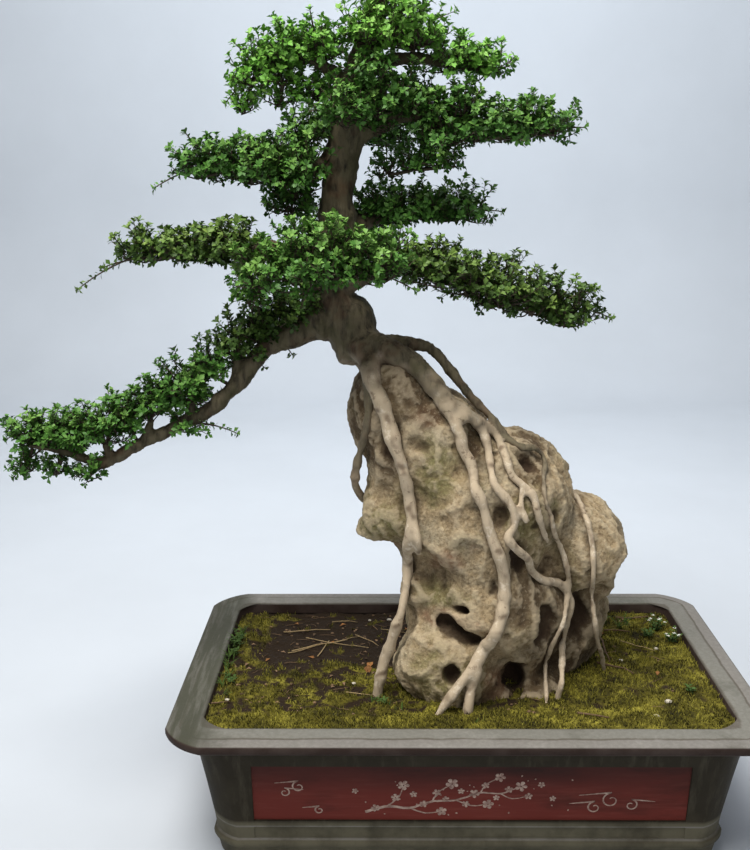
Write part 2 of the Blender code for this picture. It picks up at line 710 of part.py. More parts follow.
def build_whole_stone():
    """Grow the stone from its masses and roughen its skin."""
    pieces = [
        ellipsoid(name, Vector(centre) * MM, Vector(half) * MM)
        for name, (centre, half) in STONE_MASSES.items()
    ]
    stone = combine(pieces[0], pieces[1:], "UNION")
    stone.name = "rock"
    skin = stone.modifiers.new("skin", "REMESH")
    skin.mode = "VOXEL"
    skin.voxel_size = STONE_SKIN
    apply_modifiers(stone)
    shifts = [vert.normal * stone_bump(vert.co) for vert in stone.data.vertices]
    for vert, shift in zip(stone.data.vertices, shifts):
        vert.co += shift
    stone.data.update()
    return stone


def skin_finder(item):
    """Return a search tree over an object's skin."""
    bm = bmesh.new()
    bm.from_mesh(item.data)
    tree = BVHTree.FromBMesh(bm)
    bm.free()
    return tree


def hollow_stone(stone, finder):
    """Thin out the stone's faces and cut its hollows."""
    thin_out(stone, STONE_TRIANGLES)
    hollows = []
    for name, ((x, z), half, tilt) in STONE_HOLLOWS.items():
        y = stone_depth(finder, x, z, FRONT)
        detail = 2 if max(half) > SMALL_HOLLOW else 1
        hollows.append(ellipsoid(name, Vector((x, y, z)) * MM, Vector(half) * MM, detail, tilt))
    combine(stone, hollows, "DIFFERENCE")
    keep_one_body(stone)
    cutter_parts.objects.unlink(stone)
    model_parts.objects.link(stone)


def is_closed(mesh):
    """Say whether each edge of a mesh joins exactly two faces."""
    bm = bmesh.new()
    bm.from_mesh(mesh)
    closed = all(len(edge.link_faces) == 2 for edge in bm.edges)
    closed = closed and all(vert.is_manifold for vert in bm.verts)
    bm.free()
    return closed


def thin_out(item, triangles):
    """Thin out a mesh to about a number of triangles, and keep it closed."""
    thin = item.modifiers.new("fewer_faces", "DECIMATE")
    for attempt in range(THINNING_TRIES):
        thin.ratio = triangles * (1.0 + THINNING_STEP * attempt) / triangle_count(item)
        if is_closed(evaluated_mesh(item)):
            break
    apply_modifiers(item)


def triangle_count(item):
    """Return how many triangles an object's mesh makes."""
    return sum(len(face.vertices) - 2 for face in item.data.polygons)


def stone_depth(finder, x, z, side):
    """Return y of the stone's front or back surface at a place across and up."""
    outwards = -1.0 if side == FRONT else 1.0
    start = Vector((x * MM, outwards, z * MM))
    found = finder.ray_cast(start, Vector((0.0, -outwards, 0.0)))[0]
    if found is None:
        found = finder.find_nearest(Vector((x * MM, 0.0, z * MM)))[0]
    return found.y / MM


def laid_route(finder, route):
    """Read a route evenly, with the points between laid ones set on the stone."""
    knots = []
    for x, y, z, radius in route:
        depth = stone_depth(finder, x, z, y) if y in (FRONT, BACK) else y
        knots.append((x, depth, z, radius))
    points, spans = smooth_route(knots)
    sides = []
    for point, span in zip(points, spans):
        ends = {route[span][1], route[span + 1][1]}
        side = ends.pop() if len(ends) == 1 else None
        sides.append(side if side in (FRONT, BACK) else None)
        if sides[-1]:
            outwards = -1.0 if side == FRONT else 1.0
            depth = stone_depth(finder, point[0], point[2], side)
            point[1] = depth + outwards * ROOT_LIFT * point[3]
    for turn in range(ROOT_SMOOTHING):
        for index in range(1, len(points) - 1):
            between = (points[index - 1][1] + points[index + 1][1]) / 2
            if sides[index] == FRONT:
                points[index][1] = min(points[index][1], between)
            if sides[index] == BACK:
                points[index][1] = max(points[index][1], between)
    return points


def grown_stone(stone):
    """Return the stone's shape moved outwards by its gap to the soil."""
    room = copy_of(stone, "stone_room")
    bm = bmesh.new()
    bm.from_mesh(room.data)
    bm.normal_update()
    for vert in bm.verts:
        vert.co += vert.normal * STONE_SOIL_GAP
    bm.to_mesh(room.data)
    bm.free()
    return room


def limb_sides(radius):
    """Return how many sides a limb gets, by its radius in millimetres at its start."""
    if radius > THICK_LIMB:
        return THICK_SIDES
    return ROOT_SIDES if radius > SLIM_LIMB else SLIM_SIDES


def wood_tubes(finder, grow):
    """Return the trunk, the root crown, the roots and the limbs as tubes."""
    tubes = [
        tube("trunk", smooth_route(TRUNK)[0], TRUNK_SIDES, grow),
        tube("root_crown", smooth_route(ROOT_CROWN)[0], ROOT_CROWN_SIDES, grow),
    ]
    for name, route in ROOTS.items():
        sides = SLIM_SIDES if name in THIN_ROOTS else ROOT_SIDES
        tubes.append(tube("root_" + name, laid_route(finder, route), sides, grow))
    for name, route in LIMBS.items():
        points = smooth_route(route, LIMB_STEP)[0]
        tubes.append(tube("limb_" + name, points, limb_sides(route[0][3]), grow))
    return tubes


def add_wood(finder):
    """Join trunk, limbs and roots in one body, and make the room that it needs."""
    tubes = wood_tubes(finder, 0.0)
    wood = combine(tubes[0], tubes[1:], "UNION")
    keep_one_body(wood)
    cutter_parts.objects.unlink(wood)
    model_parts.objects.link(wood)
    wood.name = "trunk"
    paint(wood, "bark")
    tubes = wood_tubes(finder, CLEARANCE)
    room = combine(tubes[0], tubes[1:], "UNION")
    room.name = "wood_room"
    return wood, room


def sprig(base, direction, up, size):
    """Make one sprig: a side leaf to the left and right, and a leaf at the tip."""
    side = direction.cross(up).normalized()
    face = side.cross(direction).normalized()
    start = base - direction * SPRIG_SUNK
    length = SPRIG_LENGTH * size
    width = SPRIG_WIDTH * size
    bm = bmesh.new()

    def place(along, across, lift):
        arch = -SPRIG_ARCH * (along ** 2 + across ** 2) * length
        return bm.verts.new(
            start + direction * along * length + side * across * width + face * (arch + lift)
        )

    first = place(*SPRIG_SIDE[0], 0.0)
    last = place(*SPRIG_SIDE[-1], 0.0)
    halves = []
    for sign in (1, -1):
        inner = [place(along, sign * across, 0.0) for along, across in SPRIG_SIDE[1:-1]]
        halves.append([first] + inner + [last])
    for lift in (SPRIG_THICKNESS / 2, -SPRIG_THICKNESS / 2):
        low_rib, high_rib = [place(along, 0.0, lift * size) for along in SPRIG_RIB]
        for edge in halves:
            for index in range(len(edge) - 1):
                rib = low_rib if index < SPRIG_RIB_CHANGE else high_rib
                bm.faces.new((edge[index], edge[index + 1], rib))
            bm.faces.new((low_rib, edge[SPRIG_RIB_CHANGE], high_rib))
    return object_from_bmesh("sprig", bm, cutter_parts)


def core_half(mass):
    """Return the half sizes of a mass's core."""
    return [share * value * MM for share, value in zip(CORE_SHARE, mass[3:])]


def core_link(first, second):
    """Make the short stem that holds two neighbouring cores together."""
    ends = []
    for mass in (first, second):
        ends.append((*mass[:3], LINK_RADIUS))
    return tube("link", ends, 4)


def lumpy_core(mass, number):
    """Make the rough inner mass that leaves stand out of."""
    centre = Vector(mass[:3]) * MM
    half = core_half(mass)
    bm = bmesh.new()
    draw = random.Random(number)
    for index in range(CORE_POINTS):
        bm.verts.new(spread_direction(index, CORE_POINTS, draw))
    bmesh.ops.convex_hull(bm, input=bm.verts)
    for index, vert in enumerate(bm.verts):
        bump = 1.0 + CORE_ROUGHNESS * noise.noise(vert.co * CORE_WAVES + Vector((number, 0.0, 0.0)))
        bump *= CORE_SPIKE if index % 2 else CORE_DENT
        vert.co = centre + Vector([vert.co[axis] * half[axis] * bump for axis in range(3)])
    return object_from_bmesh("core", bm, cutter_parts)


def spread_direction(index, count, draw, turn=0.0):
    """Return one of several directions that cover a sphere evenly."""
    height = 1.0 - 2.0 * (index + 0.5) / count
    flat = math.sqrt(1.0 - height * height)
    angle = index * GOLDEN_ANGLE + turn + draw.uniform(-SWEEP, SWEEP)
    return Vector((flat * math.cos(angle), flat * math.sin(angle), height))


class Foliage:
    """Places sprigs by a seeded rule and keeps those of each spray apart."""

    def __init__(self, wood_room):
        """Start with no sprig placed."""
        self.draw = random.Random(SEED)
        self.placed = []
        self.wood_room = wood_room
        self.wood_skin = skin_finder(wood_room)

    def is_free(self, spray, centre):
        """Say whether a sprig's centre is clear of all the sprigs so far."""
        for owner, other in self.placed:
            spacing = OWN_SPRIG_SPACING if owner == spray else OTHER_SPRIG_SPACING
            if (other - centre).length < spacing:
                return False
        if self.wood_skin.find_nearest(centre, WOOD_SPACING)[0]:
            return False
        return not self.in_other_core(spray, centre)

    def in_other_core(self, spray, centre):
        """Say whether a point is near the core of another spray."""
        for owner, masses in SPRAYS.items():
            if owner == spray:
                continue
            for mass in masses:
                offset = centre - Vector(mass[:3]) * MM
                reach = [CORE_SPIKE * half + SPRIG_LENGTH / 2 for half in core_half(mass)]
                if sum((offset[axis] / reach[axis]) ** 2 for axis in range(3)) < 1.0:
                    return True
        return False

    def any_up(self, direction):
        """Draw an upward way that isn't along a given direction."""
        sway = Vector([self.draw.uniform(-LEAF_SWAY, LEAF_SWAY) for axis in range(3)])
        up = (Vector((0.0, 0.0, 1.0)) + sway).normalized()
        return Vector((1.0, 0.0, 0.0)) if abs(up.dot(direction)) > NEARLY_ALONG else up

    def add_sprig(self, spray, base, direction):
        """Make one sprig where there is room for it, else nothing."""
        centre = base + direction * (SPRIG_LENGTH / 2 - SPRIG_SUNK)
        if not self.is_free(spray, centre):
            return []
        self.placed.append((spray, centre))
        size = self.draw.uniform(*SPRIG_SIZES)
        return [sprig(base, direction, self.any_up(direction), size)]

    def sprigs_on_mass(self, spray, skin, mass, number):
        """Stand sprigs out of one core, on all its sides."""
        pieces = []
        centre = Vector(mass[:3]) * MM
        half = core_half(mass)
        count = SPRIGS_PER_LARGE_MASS if mass[3] > LARGE_MASS else SPRIGS_PER_MASS
        for index in range(count):
            way = spread_direction(index, count, self.draw, MASS_TURN * number)
            reach = Vector([way[axis] * half[axis] for axis in range(3)])
            base = skin.ray_cast(centre + 2.0 * reach, -reach.normalized())[0]
            outward = Vector([way[axis] / half[axis] for axis in range(3)]).normalized()
            outward.z += SPRIG_LIFT
            if base:
                pieces += self.add_sprig(spray, base, outward.normalized())
        return pieces

    def leafy_shoot(self, spray, start, end):
        """Make a thin shoot with sprigs along it and one at its tip."""
        way = (end - start).normalized()
        side = way.cross(Vector((0.0, 0.0, 1.0))).normalized()
        route = [(*(point / MM), TWIG_RADIUS) for point in (start, end)]
        pieces = [tube("twig", route, 4)]
        pieces += self.add_sprig(spray, end, way)
        length = (end - start).length
        for index in range(int(length / SHOOT_SPRIG_SPACING)):
            share = 1.0 - (index + 1) * SHOOT_SPRIG_SPACING / length
            sign = 1 if index % 2 else -1
            lean = (way * SHOOT_LEAN + side * sign + Vector((0.0, 0.0, SPRIG_LIFT))).normalized()
            root = start.lerp(end, share) + lean * (SPRIG_SUNK - TWIG_RADIUS * MM / 2)
            pieces += self.add_sprig(spray, root, lean)
        return pieces

    def add_spray(self, name):
        """Build one leafy spray as a single body with room for its limb."""
        cores = []
        masses = SPRAYS[name]
        for number, mass in enumerate(masses):
            cores.append(lumpy_core(mass, number + len(name)))
            if number:
                cores.append(core_link(masses[number - 1], mass))
        spray = combine(cores[0], cores[1:], "UNION")
        skin = skin_finder(spray)
        leaves = []
        for number, mass in enumerate(masses):
            leaves += self.sprigs_on_mass(name, skin, mass, number)
        for start, end in LONG_SHOOTS.get(name, ()):
            leaves += self.leafy_shoot(name, Vector(start) * MM, Vector(end) * MM)
        combine(spray, leaves, "UNION")
        combine(spray, [copy_of(self.wood_room, "wood_room")], "DIFFERENCE")
        keep_one_body(spray)
        spray.name = name
        cutter_parts.objects.unlink(spray)
        model_parts.objects.link(spray)
        paint(spray, "leaves")
        return spray


def finish(item, stand):
    """Shade an object's round faces smooth and hang it on the stand."""
    item.data.shade_smooth()
    item.data.set_sharp_from_angle(angle=math.radians(SHARP_ANGLE))
    item.parent = stand


def main():
    """Build the whole model."""
    global model_parts, cutter_parts
    clear_scene()
    model_parts = new_collection("root_over_rock_bonsai")
    cutter_parts = new_collection("cutters")
    stand = bpy.data.objects.new("stand", None)
    stand.location.x = STAND_SHIFT
    model_parts.objects.link(stand)
    pieces = [add_pot()]
    pieces.append(add_screen("screen_left", -1))
    pieces.append(add_screen("screen_right", 1))
    stone = build_whole_stone()
    finder = skin_finder(stone)
    wood, wood_room = add_wood(finder)
    pieces.append(wood)
    hollow_stone(stone, finder)
    pieces.append(add_soil(stone, wood_room))
    combine(stone, [copy_of(wood_room, "wood_room")], "DIFFERENCE")
    keep_one_body(stone)
    paint(stone, "limestone")
    pieces.append(stone)
    foliage = Foliage(wood_room)
    for name in SPRAYS:
        pieces.append(foliage.add_spray(name))
    for piece in pieces:
        finish(piece, stand)
    wood_room.hide_render = True
    wood_room.display_type = "WIRE"


main()
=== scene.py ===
"""Looks of a root over rock bonsai in its glazed pot.

A small leaved tree leans from the top of a pitted limestone. The finer pieces
made here stand for the plain solids of the frame: the fired pot with its sunk
panels, the stone, the wood in one piece, the leafy sprays, and the moss, litter
and weeds on the soil. All sizes are in metres, with x to the right, y away from
the viewer and z up, unless a name says millimetres.
"""

import json
import logging
import math
from dataclasses import dataclass, field
from enum import Enum
from typing import Callable, Sequence

import bmesh
import bpy
import numpy as np
from mathutils import Matrix, Vector, noise
from mathutils.bvhtree import BVHTree

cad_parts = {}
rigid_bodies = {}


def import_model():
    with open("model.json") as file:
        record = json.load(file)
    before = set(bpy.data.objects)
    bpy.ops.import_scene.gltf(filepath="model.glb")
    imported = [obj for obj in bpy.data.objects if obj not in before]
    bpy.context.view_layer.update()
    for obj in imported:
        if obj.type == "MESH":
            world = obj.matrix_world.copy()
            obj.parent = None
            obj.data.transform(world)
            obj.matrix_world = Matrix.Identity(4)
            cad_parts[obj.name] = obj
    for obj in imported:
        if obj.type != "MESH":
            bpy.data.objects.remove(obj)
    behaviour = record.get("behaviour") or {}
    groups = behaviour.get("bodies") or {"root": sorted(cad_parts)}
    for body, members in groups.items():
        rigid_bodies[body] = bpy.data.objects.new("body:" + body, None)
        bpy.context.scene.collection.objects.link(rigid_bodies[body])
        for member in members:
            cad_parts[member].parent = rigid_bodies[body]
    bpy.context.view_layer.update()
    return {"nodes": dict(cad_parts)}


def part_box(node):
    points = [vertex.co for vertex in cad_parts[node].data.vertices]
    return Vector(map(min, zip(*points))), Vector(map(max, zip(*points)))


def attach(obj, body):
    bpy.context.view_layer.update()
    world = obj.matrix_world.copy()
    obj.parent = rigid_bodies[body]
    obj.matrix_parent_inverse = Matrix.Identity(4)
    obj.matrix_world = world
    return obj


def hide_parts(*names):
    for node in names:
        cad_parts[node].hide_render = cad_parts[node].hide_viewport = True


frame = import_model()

MM = 0.001
BODY = "root"
GOLDEN_ANGLE = math.pi * (3.0 - math.sqrt(5.0))
# Vector noise follows the clock unless it is seeded
NOISE_SEED = 7
LOG = logging.getLogger("bonsai")

Colour = tuple[float, float, float]
Point = tuple[float, float, float]
Triangle = tuple[int, int, int]

WHITE: Colour = (1.0, 1.0, 1.0)
UNSTRETCHED: Point = (1.0, 1.0, 1.0)
UP = np.array((0.0, 0.0, 1.0))


class Slot(Enum):
    """Material slots of the record."""

    POT = "glazed_stoneware"
    SCREEN = "screen_plastic"
    SOIL = "mossy_soil"
    STONE = "limestone"
    BARK = "bark"
    LEAVES = "leaves"


class Side(Enum):
    """The side of the stone that a root's point is laid on."""

    FRONT = -1.0
    BACK = 1.0


FRONT, BACK = Side


def pot_centre() -> Vector:
    """Return the middle of the pot's foot, which the tree's own sizes are counted from."""
    low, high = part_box("pot")
    return Vector(((low.x + high.x) / 2, (low.y + high.y) / 2, low.z))


POT_CENTRE = pot_centre()


def from_pot(point: Sequence[float]) -> Vector:
    """Turn millimetres from the pot's centre into a place in the frame."""
    return POT_CENTRE + Vector(point[:3]) * MM


class Graph:
    """A material's nodes, with short calls that add and join them."""

    def __init__(self, name: str) -> None:
        """Start from one Principled shader.

        Args:
            name: the material's name.
        """
        self.material = bpy.data.materials.new(name)
        self.material.use_nodes = True
        self.tree = self.material.node_tree
        self.shader = self.tree.nodes["Principled BSDF"]
        self.place = self.tree.nodes.new("ShaderNodeTexCoord").outputs["Object"]

    def node(self, kind: str, inputs: dict | None = None, **settings: object) -> bpy.types.Node:
        """Add a node.

        Args:
            kind: the node's type, without its ShaderNode prefix.
            inputs: socket name or number to a value or to an output to link.
            settings: the node's own properties.

        Returns:
            The new node.
        """
        made = self.tree.nodes.new("ShaderNode" + kind)
        for key, value in settings.items():
            setattr(made, key, value)
        for key, value in (inputs or {}).items():
            self.join(made.inputs[key], value)
        return made

    def join(self, socket: bpy.types.NodeSocket, value: object) -> None:
        """Link an output to a socket, or set the socket's own value."""
        if isinstance(value, bpy.types.NodeSocket):
            self.tree.links.new(value, socket)
        elif isinstance(value, tuple) and len(value) == 3 and socket.type == "RGBA":
            socket.default_value = (*value, 1.0)
        else:
            socket.default_value = value

    def set(self, **values: object) -> None:
        """Set the shader's sockets; underscores in a name stand for spaces."""
        for key, value in values.items():
            self.join(self.shader.inputs[key.replace("_", " ")], value)

    def stretched(self, stretch: Point) -> bpy.types.NodeSocket:
        """Return the coordinates drawn out by a factor along each axis."""
        if stretch == UNSTRETCHED:
            return self.place
        scale = tuple(1.0 / factor for factor in stretch)
        return self.node("Mapping", {"Vector": self.place, "Scale": scale}).outputs[0]

    def noise(self, size: float, detail: float = 5.0, rough: float = 0.6,
              stretch: Point = UNSTRETCHED, distortion: float = 0.0) -> bpy.types.NodeSocket:
        """Add a cloudy pattern.

        Args:
            size: how far across its lumps are, about, in metres.
            detail: how many finer patterns lie on it.
            rough: how strong those are.
            stretch: how far it is drawn out along each axis.
            distortion: how far it swirls.

        Returns:
            The pattern's value.
        """
        made = self.node(
            "TexNoise",
            {"Vector": self.stretched(stretch), "Scale": 1.0 / size, "Detail": detail,
             "Roughness": rough, "Distortion": distortion},
        )
        return made.outputs["Fac"]

    def cells(self, size: float) -> bpy.types.NodeSocket:
        """Return the distance from the middle of cells that are about size metres across."""
        return self.node("TexVoronoi", {"Vector": self.place, "Scale": 1.0 / size}).outputs["Distance"]

    def ramp(self, value: bpy.types.NodeSocket,
             stops: Sequence[tuple[float, Colour]]) -> bpy.types.NodeSocket:
        """Turn a value into colours.

        Args:
            value: the value.
            stops: the values that have a colour of their own, each with its colour.

        Returns:
            The colour.
        """
        made = self.node("ValToRGB", {"Fac": value})
        points = made.color_ramp.elements
        while len(points) < len(stops):
            points.new(0.5)
        for point, (place, colour) in zip(points, stops):
            point.position = place
            point.color = (*colour, 1.0)
        return made.outputs["Color"]

    def level(self, value: bpy.types.NodeSocket, low: float, high: float,
              to_low: float = 0.0, to_high: float = 1.0) -> bpy.types.NodeSocket:
        """Map a value from one range to another, and hold it there.

        Args:
            value: the value.
            low: what becomes to_low.
            high: what becomes to_high, and may lie below low.
            to_low: the result at low.
            to_high: the result at high.

        Returns:
            The mapped value.
        """
        made = self.node(
            "MapRange",
            {"Value": value, "From Min": low, "From Max": high, "To Min": to_low, "To Max": to_high},
        )
        return made.outputs["Result"]

    def mix(self, share: object, first: object, second: object,
            blend: str = "MIX") -> bpy.types.NodeSocket:
        """Mix two colours, each a socket or a colour.

        Args:
            share: how much of the second there is.
            first: the colour that is mixed at a share of 0.
            second: the colour that is mixed at a share of 1.
            blend: the kind of mixing.

        Returns:
            The mixed colour.
        """
        made = self.node("Mix", data_type="RGBA", blend_type=blend)
        for number, value in ((0, share), (6, first), (7, second)):
            self.join(made.inputs[number], value)
        return made.outputs[2]

    def layer(self, under: object, over: object, value: bpy.types.NodeSocket, low: float, high: float,
              least: float = 0.0, most: float = 1.0) -> bpy.types.NodeSocket:
        """Lay one colour over another where a value says so.

        Args:
            under: the lower colour.
            over: the upper colour.
            value: what the cover follows.
            low: the value with the least cover.
            high: the value with the most cover in the direction of low to high.
            least: the cover at low.
            most: the cover at high.

        Returns:
            The covered colour.
        """
        return self.mix(self.level(value, low, high, least, most), under, over)

    def math(self, operation: str, first: object, second: object = 0.0) -> bpy.types.NodeSocket:
        """Return the result of a sum on two values."""
        return self.node("Math", {0: first, 1: second}, operation=operation).outputs[0]

    def kept(self, name: str) -> bpy.types.NodeSocket:
        """Return a number that the mesh keeps for each of its points."""
        return self.node("Attribute", attribute_name=name).outputs["Fac"]

    def tint(self) -> bpy.types.NodeSocket:
        """Return the mesh's own colour."""
        return self.node("Attribute", attribute_name="tint").outputs["Color"]

    def height(self) -> bpy.types.NodeSocket:
        """Return the height above the floor."""
        return self.node("SeparateXYZ", {0: self.place}).outputs["Z"]

    def bump(self, value: bpy.types.NodeSocket, depth: float, strength: float = 1.0,
             under: bpy.types.NodeSocket | None = None) -> bpy.types.NodeSocket:
        """Return a normal roughened by a value over a depth in metres."""
        inputs = {"Height": value, "Distance": depth, "Strength": strength}
        if under:
            inputs["Normal"] = under
        return self.node("Bump", inputs).outputs["Normal"]


class Sheaf:
    """Gathers points, triangles and tints, and turns them into one mesh."""

    def __init__(self) -> None:
        """Start empty."""
        self.points: list[np.ndarray] = []
        self.faces: list[np.ndarray] = []
        self.tints: list[np.ndarray] = []
        self.slots: list[np.ndarray] = []
        self.count = 0

    def add(self, points: np.ndarray, faces: np.ndarray, tint: np.ndarray | Colour = WHITE,
            slot: int = 0) -> None:
        """Add a patch of triangles.

        Args:
            points: places, one row each.
            faces: three indices into the points for each triangle.
            tint: one colour, or one for each point.
            slot: number of the material that the triangles wear.
        """
        self.points.append(points)
        self.faces.append(faces + self.count)
        self.tints.append(np.broadcast_to(np.asarray(tint, float), (len(points), 3)))
        self.slots.append(np.full(len(faces), slot))
        self.count += len(points)

    def tube(self, path: np.ndarray, radii: Sequence[float], sides: int = 4,
             tint: np.ndarray | Colour = WHITE, slot: int = 0) -> None:
        """Add a round stem that is closed at both ends.

        Args:
            path: places along its middle, one row each.
            radii: its radius at each place.
            sides: how many sides it has.
            tint: its colour.
            slot: number of the material that it wears.
        """
        points, faces = tube_patch(path, np.asarray(radii, float), sides)
        self.add(points, faces, tint, slot)

    def piece(self, name: str, finishes: Sequence[bpy.types.Material],
              smooth: bool = True) -> bpy.types.Object:
        """Make the gathered patches one object.

        Args:
            name: the piece's name.
            finishes: its materials, in the order of the slots.
            smooth: whether its faces are shaded smooth.

        Returns:
            The new object, linked to the scene.
        """
        points = np.concatenate(self.points).astype(np.float32)
        faces = np.concatenate(self.faces).astype(np.int32)
        mesh = bpy.data.meshes.new(name)
        mesh.vertices.add(len(points))
        mesh.vertices.foreach_set("co", points.ravel())
        mesh.loops.add(faces.size)
        mesh.loops.foreach_set("vertex_index", faces.ravel())
        mesh.polygons.add(len(faces))
        mesh.polygons.foreach_set("loop_start", np.arange(0, faces.size, 3, dtype=np.int32))
        for finish in finishes:
            mesh.materials.append(finish)
        mesh.polygons.foreach_set("material_index", np.concatenate(self.slots).astype(np.int32))
        mesh.update(calc_edges=True)
        colours = np.ones((len(points), 4), np.float32)
        colours[:, :3] = np.concatenate(self.tints)
        tint = mesh.color_attributes.new(name="tint", type="FLOAT_COLOR", domain="POINT")
        tint.data.foreach_set("color", colours.ravel())
        if smooth:
            mesh.shade_smooth()
        return linked(name, mesh)


def linked(name: str, mesh: bpy.types.Mesh) -> bpy.types.Object:
    """Wrap a mesh in an object of the scene."""
    item = bpy.data.objects.new(name, mesh)
    bpy.context.scene.collection.objects.link(item)
    return item


def from_bmesh(name: str, bm: bmesh.types.BMesh, outwards: bool = False) -> bpy.types.Object:
    """Turn a bmesh into an object of the scene.

    Args:
        name: the object's name.
        bm: the bmesh, which is freed.
        outwards: whether its faces are turned outwards first.

    Returns:
        The new object.
    """
    if outwards:
        bm.normal_update()
        bmesh.ops.recalc_face_normals(bm, faces=bm.faces)
    mesh = bpy.data.meshes.new(name)
    bm.to_mesh(mesh)
    bm.free()
    return linked(name, mesh)


def grid_faces(rows: int, columns: int, closed: bool = False) -> list[Triangle]:
    """Skin a grid of points that are counted row by row.

    Args:
        rows: how many rows there are.
        columns: how many points a row has.
        closed: whether each row's last point is joined to its first.

    Returns:
        Two triangles for each cell.
    """
    faces = []
    for row in range(rows - 1):
        for column in range(columns if closed else columns - 1):
            here, beside = row * columns + column, row * columns + (column + 1) % columns
            faces.append((here, beside, beside + columns))
            faces.append((here, beside + columns, here + columns))
    return faces


def tube_patch(path: np.ndarray, radii: np.ndarray, sides: int) -> tuple[np.ndarray, np.ndarray]:
    """Sweep a round section along a path.

    Args:
        path: places along the middle, one row each.
        radii: the radius at each place.
        sides: how many sides the section has.

    Returns:
        The points and the triangles of a closed tube.
    """
    ways = np.gradient(path, axis=0)
    ways /= np.linalg.norm(ways, axis=1, keepdims=True) + 1e-12
    across = np.cross(ways[0], (0.0, 0.0, 1.0) if abs(ways[0][2]) < 0.9 else (1.0, 0.0, 0.0))
    turns = np.arange(sides) * 2 * math.pi / sides
    rings = []
    for place, way, radius in zip(path, ways, radii):
        across = across - way * np.dot(across, way)
        across /= np.linalg.norm(across) + 1e-12
        other = np.cross(way, across)
        rings.append(place + radius * (np.outer(np.cos(turns), across) + np.outer(np.sin(turns), other)))
    points = np.concatenate(rings + [path[:1], path[-1:]])
    first, last = len(points) - 2, len(points) - 1
    faces = grid_faces(len(path), sides, True)
    top = (len(path) - 1) * sides
    for side in range(sides):
        beside = (side + 1) % sides
        faces.append((first, beside, side))
        faces.append((last, top + side, top + beside))
    return points, np.array(faces)


def curve_through(knots: np.ndarray, step: float) -> np.ndarray:
    """Read a smooth curve through knots evenly.

    Args:
        knots: rows of values, of which the first three are a place.
        step: the distance between two places, in the knots' unit.

    Returns:
        The rows along the curve, the first and the last knot included.
    """
    rows = [knots[0]]
    for index in range(len(knots) - 1):
        before = knots[max(index - 1, 0)]
        start, end = knots[index], knots[index + 1]
        after = knots[min(index + 2, len(knots) - 1)]
        count = max(1, round(float(np.linalg.norm((end - start)[:3])) / step))
        for share in np.arange(1, count + 1) / count:
            pull = (end - before) * share + (2 * before - 5 * start + 4 * end - after) * share ** 2
            push = (3 * start - before - 3 * end + after) * share ** 3
            rows.append(start + (pull + push) / 2)
    return np.array(rows)


def apply_steps(item: bpy.types.Object) -> None:
    """Make an object's modified mesh its own."""
    graph = bpy.context.evaluated_depsgraph_get()
    graph.update()
    mesh = bpy.data.meshes.new_from_object(item.evaluated_get(graph))
    item.modifiers.clear()
    item.data = mesh


def remesh(item: bpy.types.Object, voxel: float) -> None:
    """Skin an object's closed bodies in one even mesh."""
    step = item.modifiers.new("skin", "REMESH")
    step.mode = "VOXEL"
    step.voxel_size = voxel
    step.use_smooth_shade = True
    apply_steps(item)


def relax(item: bpy.types.Object, times: int, factor: float = 0.5) -> None:
    """Smooth an object's surface a number of times."""
    step = item.modifiers.new("relax", "SMOOTH")
    step.factor = factor
    step.iterations = times
    apply_steps(item)


def rows_of(item: bpy.types.Object, name: str = "co") -> np.ndarray:
    """Return the places of a mesh's points, or their normals by that name, one row each."""
    values = np.empty(len(item.data.vertices) * 3, np.float32)
    item.data.vertices.foreach_get(name, values)
    return values.reshape(-1, 3).astype(float)


def move_points(item: bpy.types.Object, points: np.ndarray) -> None:
    """Give a mesh's points new places."""
    item.data.vertices.foreach_set("co", points.astype(np.float32).ravel())
    item.data.update()


def keep_values(item: bpy.types.Object, name: str, values: np.ndarray) -> None:
    """Keep one number for each point as an attribute that a finish reads."""
    kept = item.data.attributes.new(name, "FLOAT", "POINT")
    kept.data.foreach_set("value", values.astype(np.float32))


def search_tree(item: bpy.types.Object) -> BVHTree:
    """Return a search tree over an object's own mesh."""
    bm = bmesh.new()
    bm.from_mesh(item.data)
    tree = BVHTree.FromBMesh(bm)
    bm.free()
    return tree


def dress(item: bpy.types.Object, slot: Slot, *nodes: str) -> bpy.types.Object:
    """Hang a piece on the frame.

    Args:
        item: the piece.
        slot: not used.
        nodes: the frame's nodes that it stands for.

    Returns:
        The same piece.
    """
    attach(item, BODY)
    if nodes:
        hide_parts(*nodes)
    faces = sum(len(face.vertices) - 2 for face in item.data.polygons)
    LOG.info("%s: %d triangles", item.name, faces)
    return item


def unit(vector: np.ndarray) -> np.ndarray:
    """Return vectors scaled to length one."""
    return vector / (np.linalg.norm(vector, axis=-1, keepdims=True) + 1e-12)


def heading(turn: float, up: float, level: float = 1.0) -> np.ndarray:
    """Return the way with a turn about the upright, a rise and a level share."""
    return np.array((level * math.cos(turn), level * math.sin(turn), up))


def held(value: float) -> float:
    """Return a value held between nought and one."""
    return min(1.0, max(0.0, value))


